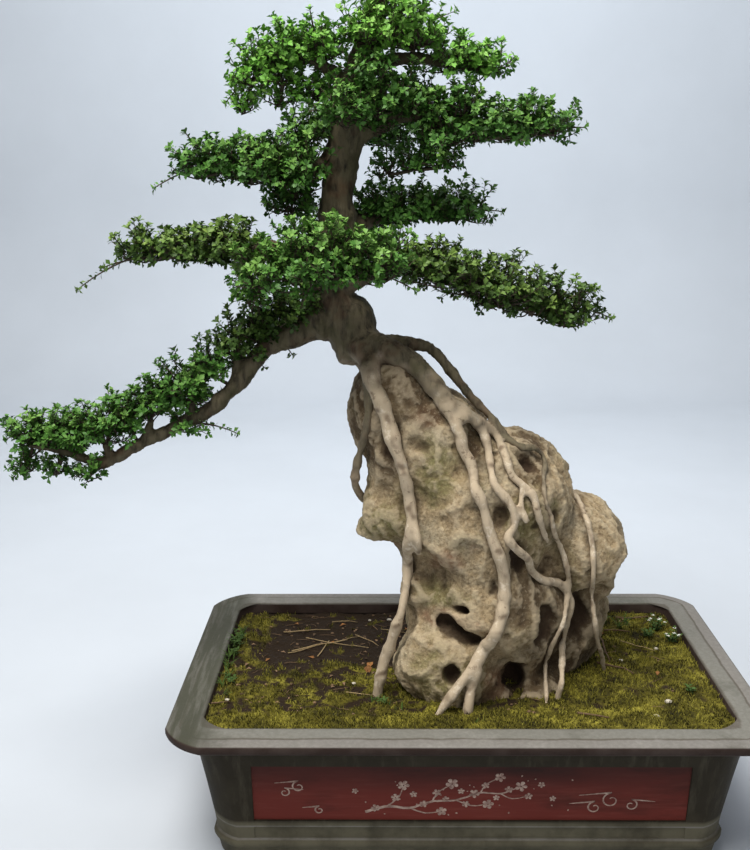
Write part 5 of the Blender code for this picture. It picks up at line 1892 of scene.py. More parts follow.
@dataclass
class Leaves:
    """Collects leaf blades and makes their triangles all at once."""

    bases: list[np.ndarray] = field(default_factory=list)
    ways: list[np.ndarray] = field(default_factory=list)
    tops: list[np.ndarray] = field(default_factory=list)
    lengths: list[float] = field(default_factory=list)
    shares: list[float] = field(default_factory=list)

    def put(self, base: np.ndarray, way: np.ndarray, top: np.ndarray, length: float, share: float) -> None:
        """Add one blade.

        Args:
            base: where it grows.
            way: the way that it points.
            top: the way that its upper side faces.
            length: its length in metres.
            share: its tint, from dark (0) to light (1).
        """
        self.bases.append(base)
        self.ways.append(way)
        self.tops.append(top)
        self.lengths.append(length)
        self.shares.append(share)

    def spread(self, sheaf: Sheaf, wood: BVHTree, draw: np.random.Generator, colours: LeafColours) -> int:
        """Turn the blades into triangles, without those that would grow into the wood.

        Args:
            sheaf: what the triangles are added to.
            wood: search tree over the tree's wood.
            draw: source of random numbers.
            colours: the leaves' tints.

        Returns:
            How many blades were made.
        """
        bases, lengths = np.array(self.bases), np.array(self.lengths)
        ways = unit(np.array(self.ways))
        kept = [
            wood.find_nearest(Vector(base + 0.6 * length * way), 1.6 * MM)[0] is None
            for base, way, length in zip(bases, ways, lengths)
        ]
        kept = np.array(kept)
        bases, ways, lengths = bases[kept], ways[kept], lengths[kept]
        tops = np.array(self.tops)[kept]
        shares = np.array(self.shares)[kept]
        sides = unit(np.cross(ways, tops))
        tops = unit(np.cross(sides, ways))
        count = len(bases)
        widths = lengths * draw.uniform(0.60, 0.80, count)
        arch = draw.uniform(0.02, 0.34, count)
        fold = draw.uniform(0.15, 0.50, count)
        along, across = LEAF_ROWS[:, 0], LEAF_ROWS[:, 1]
        rise = (
            -arch[:, None] * along[None, :] ** 2 * lengths[:, None]
            + fold[:, None] * np.abs(across)[None, :] * widths[:, None]
        )
        points = (
            bases[:, None, :]
            + ways[:, None, :] * (along[None, :] * lengths[:, None])[..., None]
            + sides[:, None, :] * (across[None, :] * widths[:, None])[..., None]
            + tops[:, None, :] * rise[..., None]
        )
        rows = len(LEAF_ROWS)
        faces = LEAF_FACES[None, :, :] + (np.arange(count) * rows)[:, None, None]
        tints = np.repeat(colours.between(np.clip(shares, 0.0, 1.0)), rows, axis=0)
        veins = np.tile(np.where(across == 0.0, 1.18, 0.94), count)
        sheaf.add(points.reshape(-1, 3), faces.reshape(-1, 3), tints * veins[:, None], 0)
        return count


@dataclass
class Spray:
    """One leafy spray: stems through its clumps, twigs out of them, and leaves on the twigs."""

    node: str
    masses: tuple[tuple[float, ...], ...]
    shoots: tuple[tuple[Point, Point], ...] = ()
    light: float = 0.0
    colours: LeafColours = LeafColours()
    twigs: int = 35
    leaf: tuple[float, float] = (4.8 * MM, 7.8 * MM)
    leaf_spacing: float = 2.6 * MM
    lowest: float = 1.42
    tufts: int = 6
    tuft: tuple[float, float] = (10.0 * MM, 29.0 * MM)
    # Tint of a twig's leaves at the clump's waist, and how much lighter they are at its top
    lit: tuple[float, float] = (0.35, 0.36)
    # Clumps of this half size have the full number of twigs, and others fewer or more
    usual_half: float = 36.0
    fewest_twigs: int = 9
    hub_drop: float = 0.42
    joined_within: float = 9.0 * MM
    seed: int = 1

    def clumps(self) -> list[Mass]:
        """Return the spray's clumps, with smaller ones between neighbours."""
        clumps = [Mass(tuple(row[:3]), tuple(row[3:])) for row in self.masses]
        between = [first.beside(second, 0.86) for first, second in zip(clumps, clumps[1:])]
        return clumps + between

    def twig(self, sheaf: Sheaf, path: np.ndarray, thick: float, thin: float) -> None:
        """Add a tapering twig along a path."""
        sides = 4 if thick > 1.0 * MM else 3
        sheaf.tube(path, np.linspace(thick, thin, len(path)), sides, self.colours.twig, 1)

    def bent(self, start: np.ndarray, control: np.ndarray, end: np.ndarray, count: int) -> np.ndarray:
        """Return a bent line from a start to an end, drawn towards a control place."""
        share = np.linspace(0.0, 1.0, count)[:, None]
        return start * (1 - share) ** 2 + 2 * control * share * (1 - share) + end * share ** 2

    def rosette(self, leaves: Leaves, place: np.ndarray, way: np.ndarray, tint: float,
                draw: np.random.Generator, count: int) -> None:
        """Put a whorl of leaves at the tip of a shoot.

        Args:
            leaves: the spray's leaves.
            place: the tip.
            way: the way that the shoot points there.
            tint: the leaves' tint, from dark (0) to light (1).
            draw: source of random numbers.
            count: how many leaves there are.
        """
        across = unit(np.cross(way, draw.normal(0.0, 1.0, 3)))
        other = np.cross(way, across)
        turn = draw.uniform(0.0, 2 * math.pi)
        for index in range(count):
            angle = turn + index * GOLDEN_ANGLE
            out = math.cos(angle) * across + math.sin(angle) * other
            open_by = draw.uniform(0.55, 1.35)
            leaf_way = math.cos(open_by) * way + math.sin(open_by) * out
            leaf_way[2] += 0.10
            top = unit(way * math.sin(open_by) - out * math.cos(open_by) + 0.5 * UP)
            length = draw.uniform(*self.leaf) * (0.82 if index >= count - 2 else 1.0)
            foot = place - way * index * 0.4 * MM
            leaves.put(foot, leaf_way, top, length, tint + draw.normal(0.06, 0.10))

    def leafed(self, leaves: Leaves, path: np.ndarray, tint: float, draw: np.random.Generator,
               start: float, tip: int) -> None:
        """Set leaves along a twig's outer part and a whorl at its tip.

        Args:
            leaves: the spray's leaves.
            path: places along the twig.
            tint: the leaves' tint, from dark (0) to light (1).
            draw: source of random numbers.
            start: the share of the twig that stays bare.
            tip: how many leaves the whorl has.
        """
        steps = np.linalg.norm(np.diff(path, axis=0), axis=1)
        reach = np.concatenate(([0.0], np.cumsum(steps)))
        ways = unit(np.gradient(path, axis=0))
        turn = draw.uniform(0.0, 2 * math.pi)
        place_on = reach[-1] * start
        number = 0
        depth = 0.30 * reach[-1] / (reach[-1] + 10.0 * MM)
        while place_on < reach[-1] - 1.0 * MM:
            place = np.array([np.interp(place_on, reach, path[:, axis]) for axis in range(3)])
            way = unit(np.array([np.interp(place_on, reach, ways[:, axis]) for axis in range(3)]))
            across = unit(np.cross(way, (0.12, 0.05, 1.0)))
            other = np.cross(across, way)
            angle = turn + number * GOLDEN_ANGLE
            out = math.cos(angle) * across + math.sin(angle) * other
            leaf_way = 0.50 * way + 0.85 * out + 0.22 * UP
            top = unit(0.9 * UP + 0.5 * way + draw.normal(0.0, 0.28, 3))
            length = draw.uniform(*self.leaf) * 0.92
            shade = tint + draw.normal(0.0, 0.11) - depth * (1.0 - place_on / reach[-1])
            leaves.put(place, unit(leaf_way), top, length, shade)
            place_on += self.leaf_spacing * draw.uniform(0.75, 1.25)
            number += 1
        self.rosette(leaves, path[-1], ways[-1], tint + 0.07, draw, tip)

    def clump(self, mass: Mass, hub: np.ndarray, sheaf: Sheaf, leaves: Leaves,
              draw: np.random.Generator, twigs: int) -> None:
        """Grow one clump's twigs from its hub and leaf them.

        Args:
            mass: the clump.
            hub: where its twigs start.
            sheaf: what the twigs are added to.
            leaves: the spray's leaves.
            draw: source of random numbers.
            twigs: how many twigs it has.
        """
        centre = np.array(from_pot(mass.centre))
        half = np.array(mass.half) * MM
        turn = draw.uniform(0.0, 2 * math.pi)
        for index in range(twigs):
            up = 1.0 - self.lowest * (index + 0.5) / twigs
            angle = turn + index * GOLDEN_ANGLE
            way = heading(angle, up, math.sqrt(max(0.0, 1.0 - up * up)))
            way += draw.normal(0.0, 0.16, 3)
            reach = draw.uniform(0.52, 0.86) if index % 3 else draw.uniform(0.78, 1.10)
            reach *= 1.0 + 0.60 * noise.noise(Vector(unit(way) * 1.5) + Vector(mass.centre))
            end = centre + half * unit(way) * reach
            outwards = unit(end - hub)
            control = hub + (end - hub) * 0.5 + half * UP * draw.uniform(-0.35, 0.0)
            control += draw.normal(0.0, 2.2 * MM, 3)
            path = self.bent(hub + draw.normal(0.0, 2.0 * MM, 3), control, end, 6)
            lit = self.lit[0] + self.lit[1] * up + self.light + draw.normal(0.0, 0.10)
            self.twig(sheaf, path, 0.95 * MM, 0.45 * MM)
            self.leafed(leaves, path, lit, draw, 0.36, 6)
            for share in (0.40, 0.60, 0.80):
                fork = path[int(share * 5)]
                side = unit(outwards + draw.normal(0.0, 0.80, 3) + 0.35 * UP)
                length = draw.uniform(6.0, 12.0) * MM
                branch = np.array((fork, fork + side * length + length * 0.30 * UP))
                self.twig(sheaf, branch, 0.55 * MM, 0.35 * MM)
                self.rosette(leaves, branch[1], unit(branch[1] - branch[0]), lit, draw, 5)
        self.tuft_top(mass, sheaf, leaves, draw, max(1, round(self.tufts * twigs / self.twigs)))

    def tuft_top(self, mass: Mass, sheaf: Sheaf, leaves: Leaves, draw: np.random.Generator,
                 count: int) -> None:
        """Raise tufts of young leafy shoots from a clump's upper side, for its ragged outline.

        Args:
            mass: the clump.
            sheaf: what the shoots are added to.
            leaves: the spray's leaves.
            draw: source of random numbers.
            count: how many tufts there are.
        """
        centre = np.array(from_pot(mass.centre))
        half = np.array(mass.half) * MM
        turn = draw.uniform(0.0, 2 * math.pi)
        for index in range(count):
            angle = turn + index * GOLDEN_ANGLE
            level = math.sqrt((index + 0.5) / count) * 0.92
            up = math.sqrt(max(0.05, 1.0 - level * level))
            way = heading(angle, up, level)
            foot = centre + half * way * 0.66
            tall = draw.uniform(*self.tuft)
            lit = 0.48 + self.light + draw.normal(0.06, 0.10)
            for _ in range(int(draw.integers(2, 5))):
                lean = np.array((way[0] * 0.8, way[1] * 0.8, 1.0)) + draw.normal(0.0, 0.36, 3)
                tip = foot + unit(lean) * tall * draw.uniform(0.6, 1.0)
                path = self.bent(foot, (foot + tip) / 2 + draw.normal(0.0, 1.5 * MM, 3), tip, 5)
                self.twig(sheaf, path, 0.65 * MM, 0.35 * MM)
                self.leafed(leaves, path, lit, draw, 0.15, 6)

    def hubs(self, clumps: Sequence[Mass], wood: BVHTree, sheaf: Sheaf,
             draw: np.random.Generator) -> list[np.ndarray]:
        """Join each clump's hub to the nearest limb or hub with a stem.

        Args:
            clumps: the clumps.
            wood: search tree over the tree's wood.
            sheaf: what the stems are added to.
            draw: source of random numbers.

        Returns:
            The hub of each clump.
        """
        drops = [self.hub_drop * mass.half[2] * MM for mass in clumps]
        wanted = [np.array(from_pot(mass.centre)) - drop * UP for mass, drop in zip(clumps, drops)]
        hubs: dict[int, np.ndarray] = {}
        while len(hubs) < len(clumps):
            best = None
            for index, place in enumerate(wanted):
                if index in hubs:
                    continue
                nearest = np.round(np.array(wood.find_nearest(Vector(place))[0]), 4)
                spots = [nearest] + list(hubs.values())
                for spot in spots:
                    gap = float(np.linalg.norm(place - spot))
                    if best is None or gap < best[0]:
                        best = (gap, index, spot)
            gap, index, spot = best
            hub = spot
            if gap > self.joined_within:
                hub = wanted[index]
                middle = (spot + hub) / 2 + draw.normal(0.0, 0.06 * gap, 3)
                self.twig(sheaf, self.bent(spot, middle, hub, 8), 2.1 * MM, 1.3 * MM)
            hubs[index] = hub
        return [hubs[index] for index in range(len(clumps))]

    def shoot(self, start: Point, end: Point, sheaf: Sheaf, leaves: Leaves,
              draw: np.random.Generator) -> None:
        """Grow one longer shoot that reaches out of the clumps.

        Args:
            start: where it starts, in millimetres from the pot's centre.
            end: where it ends, likewise.
            sheaf: what the shoot is added to.
            leaves: the spray's leaves.
            draw: source of random numbers.
        """
        first, last = np.array(from_pot(start)), np.array(from_pot(end))
        middle = (first + last) / 2 + 0.10 * float(np.linalg.norm(last - first)) * UP
        path = self.bent(first, middle, last, 9)
        self.twig(sheaf, path, 1.1 * MM, 0.5 * MM)
        self.leafed(leaves, path, 0.55 + self.light, draw, 0.25, 7)

    def build(self, wood: BVHTree, finishes: Sequence[bpy.types.Material]) -> bpy.types.Object:
        """Build and dress the spray.

        Args:
            wood: search tree over the tree's wood.
            finishes: the leaf's and the twig's material.

        Returns:
            The spray's piece.
        """
        draw = np.random.default_rng(self.seed)
        sheaf = Sheaf()
        leaves = Leaves()
        clumps = self.clumps()
        hubs = self.hubs(clumps, wood, sheaf, draw)
        for mass, hub in zip(clumps, hubs):
            size = mass.half[0] * mass.half[1] / self.usual_half ** 2
            self.clump(mass, hub, sheaf, leaves, draw, max(self.fewest_twigs, round(self.twigs * size)))
        for start, end in self.shoots:
            self.shoot(start, end, sheaf, leaves, draw)
        count = leaves.spread(sheaf, wood, draw, self.colours)
        LOG.info("%s: %d leaves", self.node, count)
        item = sheaf.piece("leaves_" + self.node.removeprefix("spray_"), finishes)
        return dress(item, Slot.LEAVES, self.node)


@dataclass
class Crown:
    """All the leafy sprays of the tree."""

    first_seed: int = 11
    sprays: tuple[Spray, ...] = (
        Spray(
            "spray_low_left_tip",
            ((-456, -23, 418, 28, 26, 21), (-414, -19, 416, 32, 30, 20), (-376, -15, 424, 32, 30, 24),
             (-350, -13, 430, 22, 26, 20), (-462, -24, 382, 18, 17, 13), (-396, -19, 376, 22, 18, 12)),
            (((-440, -23, 404), (-474, -26, 372)), ((-452, -23, 420), (-478, -26, 414)),
             ((-450, -22, 428), (-455, -24, 446)), ((-422, -20, 420), (-427, -21, 440))), -0.02,
        ),
        Spray(
            "spray_low_left_middle",
            ((-330, -12, 448, 30, 30, 22), (-296, -12, 462, 28, 32, 24), (-262, -12, 488, 26, 28, 24),
             (-292, -15, 424, 22, 20, 14)),
            (((-312, -12, 448), (-316, -12, 478)), ((-280, -14, 428), (-238, -16, 417)),
             ((-300, -12, 470), (-316, -14, 496))), -0.03,
        ),
        Spray(
            "spray_low_left_inner",
            ((-234, -10, 512, 34, 34, 28), (-194, -12, 534, 32, 34, 27), (-160, -12, 554, 24, 26, 20)),
            (((-222, -12, 500), (-208, -14, 486)), ((-196, -14, 520), (-178, -18, 500))), -0.06, OLIVE,
        ),
        Spray(
            "spray_middle_left",
            ((-330, -35, 606, 26, 24, 15), (-280, -36, 607, 36, 34, 20), (-228, -38, 606, 38, 38, 26)),
            (((-330, -36, 602), (-390, -35, 570)), ((-226, -40, 606), (-206, -56, 564)),
             ((-320, -36, 600), (-362, -35, 592))), -0.04, OLIVE,
        ),
        Spray(
            "spray_upper_left",
            ((-268, -8, 689, 32, 30, 22), (-216, -8, 687, 40, 40, 30), (-168, -14, 687, 38, 40, 32),
             (-180, 6, 652, 32, 28, 20), (-160, -6, 722, 28, 26, 22)),
            (((-272, -8, 686), (-314, -6, 668)), ((-262, -8, 690), (-281, -6, 722)),
             ((-270, -8, 686), (-294, -5, 698))), 0.0,
        ),
        Spray(
            "spray_top_left",
            ((-214, 0, 778, 26, 26, 24), (-180, 0, 794, 34, 34, 24), (-144, -6, 800, 28, 34, 22),
             (-222, 0, 746, 18, 17, 12), (-152, 8, 762, 28, 28, 20)),
            (((-206, 0, 782), (-240, -2, 750)), ((-210, 0, 784), (-230, -4, 806)),
             ((-150, -6, 806), (-155, -10, 836)), ((-182, 0, 800), (-189, -4, 822))), 0.06, VIVID,
        ),
        Spray(
            "spray_crown",
            ((-102, -22, 812, 32, 38, 22), (-54, -14, 810, 38, 38, 24), (-88, -4, 870, 32, 32, 26)),
            (((-60, -14, 812), (-38, -16, 842)),), 0.17, VIVID,
        ),
        Spray("spray_top_right", ((-16, 8, 788, 31, 34, 24), (18, 10, 780, 24, 26, 18)), (), 0.05, VIVID),
        Spray(
            "spray_right_upper",
            ((-120, -46, 738, 36, 28, 22), (-64, -14, 750, 36, 40, 26), (-20, -12, 720, 38, 40, 28),
             (34, -10, 723, 36, 38, 23), (80, -10, 725, 30, 28, 18), (-96, -34, 768, 32, 28, 22),
             (-80, 10, 690, 20, 20, 24), (-32, -8, 694, 26, 28, 18)),
            (((76, -10, 719), (114, -10, 724)),), 0.0,
        ),
        Spray(
            "spray_right_middle",
            ((-100, 26, 640, 24, 26, 20), (-68, 34, 640, 42, 42, 25), (-8, 30, 641, 41, 38, 21)),
            (((0, 30, 640), (38, 28, 642)), ((-40, 30, 648), (-46, 26, 676))), -0.04,
        ),
        Spray(
            "spray_right_lower",
            ((-66, -36, 594, 26, 28, 20), (-28, -38, 586, 39, 40, 28), (31, -31, 566, 45, 42, 32),
             (98, -20, 544, 41, 36, 31)),
            (((104, -20, 548), (146, -16, 537)), ((100, -20, 556), (132, -16, 566))), -0.04, OLIVE,
        ),
        Spray(
            "spray_front",
            ((-196, -80, 588, 38, 36, 30), (-140, -98, 602, 46, 40, 38), (-88, -86, 596, 38, 34, 33),
             (-214, -60, 566, 20, 22, 12)),
            (((-96, -84, 590), (-54, -66, 571)), ((-150, -94, 584), (-164, -92, 555)),
             ((-206, -70, 572), (-214, -66, 548))), 0.10,
        ),
        Spray("spray_back_lower", ((-160, 106, 612, 44, 40, 28), (-100, 108, 606, 38, 38, 26)), (), -0.04),
        Spray("spray_back_upper", ((-136, 92, 730, 38, 40, 26), (-84, 90, 722, 34, 38, 24)), (), 0.0),
    )

    def build(self, wood: BVHTree) -> list[bpy.types.Object]:
        """Build and dress every spray.

        Args:
            wood: search tree over the tree's wood.

        Returns:
            The sprays' pieces.
        """
        twig = PlainColour("twig_bark", (0.032, 0.022, 0.013), (0.085, 0.060, 0.036), 0.004)
        finishes = (Leaf().material(), twig.material())
        made = []
        for number, spray in enumerate(self.sprays):
            spray.seed = self.first_seed + number
            made.append(spray.build(wood, finishes))
        return made


@dataclass
class Ground:
    """Soil with its moss carpet, and the small upright shoots of the moss."""

    level: float = 146.5
    tilt: float = 0.028
    mound: float = 9.0
    mound_reach: float = 120.0
    lumps: float = 2.2
    lump_spacing: float = 45.0
    stone_base: tuple[float, float] = (45.0, -22.0)
    width: float = 380.0
    floor: float = 30.5
    clearance: float = 0.4
    # How far the pot's inner wall comes in over its depth
    wall_slope: tuple[float, float] = (24.0, 125.0)
    turns: int = 320
    rounds: int = 54
    spikes: int = 30000
    spike_height: tuple[float, float] = (1.6, 5.6)
    spike_half: float = 0.62 * MM
    spike_dark: Colour = (0.032, 0.028, 0.003)
    spike_pale: Colour = (0.640, 0.580, 0.085)
    # Share of a shoot's colour left at its foot: painted shade deep in the moss
    spike_foot_shade: float = 0.22
    seed: int = 23
    corner: float = field(init=False)
    half: tuple[float, float] = field(init=False)

    def __post_init__(self) -> None:
        """Work out the half sizes of the soil's top, in millimetres."""
        pot = Pot()
        inset = pot.inside_inset(self.level * MM)
        self.corner = pot.inside_corner / MM - self.clearance
        self.half = tuple((size - inset) / MM - self.clearance for size in pot.half)

    def plain_height(self, across: float, deep: float) -> float:
        """Return the soil's own height, in millimetres.

        Args:
            across: millimetres to the right of the pot's centre.
            deep: millimetres away from the viewer.

        Returns:
            The height without moss.
        """
        base_x, base_y = self.stone_base
        away = math.hypot(across - base_x, deep - base_y) / self.mound_reach
        mound = self.mound * math.exp(-away ** 2)
        place = Vector((across, deep, 0.0)) / self.lump_spacing
        lumps = self.lumps * noise.noise(place)
        return self.level - self.tilt * deep + mound * (deep + self.width / 2) / self.width + lumps

    def mossiness(self, across: float, deep: float) -> float:
        """Return how mossy a place is, from bare soil (0) to moss (1).

        Args:
            across: millimetres to the right of the pot's centre.
            deep: millimetres away from the viewer.

        Returns:
            The share.
        """
        wander = 42.0 * noise.noise(Vector((across, deep, 3.0)) / 55.0)
        broad = noise.noise(Vector((across, deep, 9.0)) / 13.0)
        spots = broad + 0.6 * noise.noise(Vector((across, deep, 5.0)) / 6.0)
        front = 0.5 - (deep + 6.0 + wander) / 34.0
        right = (across - 70.0 + wander) / 40.0
        left = (-across - 210.0 + wander) / 26.0
        broken = 0.62 + 1.5 * spots
        brim = 0.5 - (deep + 118.0 + 0.4 * wander) / 20.0
        moss = min(max(front, right, left), max(broken, brim, min(right, 0.9 + spots)))
        return held(max(moss, 1.6 * spots - 0.5))

    def height(self, across: float, deep: float) -> float:
        """Return the height of moss or soil, in millimetres.

        Args:
            across: millimetres to the right of the pot's centre.
            deep: millimetres away from the viewer.

        Returns:
            The height of the ground's top.
        """
        moss = self.mossiness(across, deep)
        place = Vector((across, deep, 0.0))
        cushion = noise.voronoi(place / 24.0)[0]
        small = noise.voronoi(place / 9.0)[0]
        dome = 3.6 * (1.0 - min(1.0, cushion[0] * 1.5) ** 2) + 1.5 * (1.0 - min(1.0, small[0] * 1.4) ** 2)
        crumbs = 1.4 * noise.noise(place / 4.0) + 1.6 * noise.noise(place / 11.0)
        return self.plain_height(across, deep) + moss * (dome - 0.4) + (1.0 - moss) * crumbs

    def past_corner(self, across: float, deep: float) -> float:
        """Return how far a place lies from the straight part of its nearest corner, in millimetres."""
        over_x = max(0.0, abs(across) - (self.half[0] - self.corner))
        over_y = max(0.0, abs(deep) - (self.half[1] - self.corner))
        return math.hypot(over_x, over_y)

    def edge(self, angle: float) -> tuple[float, float]:
        """Return the soil's edge in one direction, in millimetres.

        Args:
            angle: the direction, from the right end towards the back.

        Returns:
            The place on the edge.
        """
        way = (math.cos(angle), math.sin(angle))
        low, high = 0.0, sum(self.half)
        for _ in range(30):
            middle = (low + high) / 2
            if self.past_corner(way[0] * middle, way[1] * middle) < self.corner:
                low = middle
            else:
                high = middle
        return way[0] * low, way[1] * low

    def inside(self, across: float, deep: float, margin: float = 0.0) -> bool:
        """Say whether a place lies on the soil, a margin within its edge."""
        return self.past_corner(across, deep) < self.corner - margin

    def body(self) -> bpy.types.Object:
        """Make the soil's closed body with its finely lumped top.

        Returns:
            The body, before it is dressed.
        """
        turns = self.turns
        edges = np.array([self.edge(angle) for angle in np.arange(turns) * 2 * math.pi / turns])
        # Each row is a place and how mossy it is
        rows = [
            (*edge, self.height(*edge), self.mossiness(*edge))
            for share in np.linspace(1.0, 0.02, self.rounds) for edge in edges * share
        ]
        rows.append((0.0, 0.0, self.height(0.0, 0.0), self.mossiness(0.0, 0.0)))
        first = len(rows)
        draft = (self.level - self.floor) * self.wall_slope[0] / self.wall_slope[1]
        shrink = [1.0 - draft / half for half in self.half]
        rows += [(edge[0] * shrink[0], edge[1] * shrink[1], self.floor, 0.0) for edge in edges]
        rows.append((0.0, 0.0, self.floor, 0.0))
        faces = grid_faces(self.rounds, turns, True)
        inner = (self.rounds - 1) * turns
        for turn in range(turns):
            beside = (turn + 1) % turns
            faces.append((inner + turn, inner + beside, first - 1))
            faces.append((turn, first + turn, first + beside))
            faces.append((turn, first + beside, beside))
            faces.append((first + turn, len(rows) - 1, first + beside))
        moss = np.array([row[3] for row in rows])
        sheaf = Sheaf()
        places = np.array([from_pot(row) for row in rows])
        sheaf.add(places, np.array(faces), np.repeat(moss[:, None], 3, axis=1))
        return sheaf.piece("soil_and_moss", [MossySoil().material()])

    def fur(self) -> bpy.types.Object:
        """Make the moss's small upright shoots, each one leaning blade.

        Returns:
            The shoots, before they are dressed.
        """
        draw = np.random.default_rng(self.seed)
        across, deep = (draw.uniform(-half, half, self.spikes * 2) for half in self.half)
        bases = []
        for x, y in zip(across, deep):
            if len(bases) >= self.spikes:
                break
            if not self.inside(x, y, 0.6) or self.mossiness(x, y) < draw.uniform(0.15, 0.9):
                continue
            bases.append(self.on_ground(x, y, -0.3))
        bases = np.array(bases)
        count = len(bases)
        ups = np.stack([draw.normal(0, 0.42, count), draw.normal(0, 0.42, count), np.ones(count)], axis=1)
        tall = draw.uniform(*self.spike_height, count) * MM
        turn = draw.uniform(0, 2 * math.pi, count)
        side = np.stack([np.cos(turn), np.sin(turn), np.zeros(count)], axis=1) * self.spike_half
        points = np.stack([bases - side, bases + side, bases + unit(ups) * tall[:, None]], axis=1)
        faces = np.arange(count * 3).reshape(-1, 3)
        low, high = np.array(self.spike_dark), np.array(self.spike_pale)
        patches = np.array([noise.noise(Vector(base) / 0.022) for base in bases])
        share = np.clip(draw.normal(0.42, 0.26, count) + 0.6 * patches, 0.0, 1.0)[:, None]
        tips = low + (high - low) * share
        # Painted shade: each shoot darkens to its foot
        feet = tips * self.spike_foot_shade
        sheaf = Sheaf()
        sheaf.add(points.reshape(-1, 3), faces, np.stack([feet, feet, tips], axis=1).reshape(-1, 3))
        return sheaf.piece("moss_shoots", [Tinted("moss_shoot", 0.85, 0.003, 0.0001).material()], False)

    def on_ground(self, across: float, deep: float, lift: float = 0.0) -> np.ndarray:
        """Return a place that far above the ground's surface, in the frame."""
        return np.array(from_pot((across, deep, self.height(across, deep) + lift)))


@dataclass(frozen=True)
class MossySoil:
    """Crumbly brown soil that turns to moss by the mesh's own tint."""

    soil: Colour = (0.019, 0.011, 0.005)
    soil_pale: Colour = (0.090, 0.056, 0.030)
    moss_dark: Colour = (0.015, 0.013, 0.003)
    moss: Colour = (0.110, 0.094, 0.010)
    moss_pale: Colour = (0.360, 0.318, 0.046)

    def material(self) -> bpy.types.Material:
        """Return the ground's finish as a material."""
        graph = Graph("soil_and_moss")
        crumbs = graph.cells(0.0042)
        fine = graph.noise(0.0020, detail=4.0)
        patches = graph.noise(0.026, detail=6.0)
        soil = graph.ramp(fine, ((0.35, self.soil), (0.62, self.soil), (0.74, self.soil_pale)))
        moss = graph.ramp(patches, ((0.33, self.moss_dark), (0.50, self.moss), (0.68, self.moss_pale)))
        moss = graph.layer(moss, self.moss_dark, fine, 0.35, 0.65, 0.6, 0.0)
        relief = graph.bump(crumbs, 0.0012, 0.7)
        graph.set(
            Base_Color=graph.layer(soil, moss, graph.kept("tint"), 0.25, 0.65), Roughness=0.95,
            Normal=graph.bump(fine, 0.0010, 0.8, relief), Specular_IOR_Level=0.2,
        )
        return graph.material


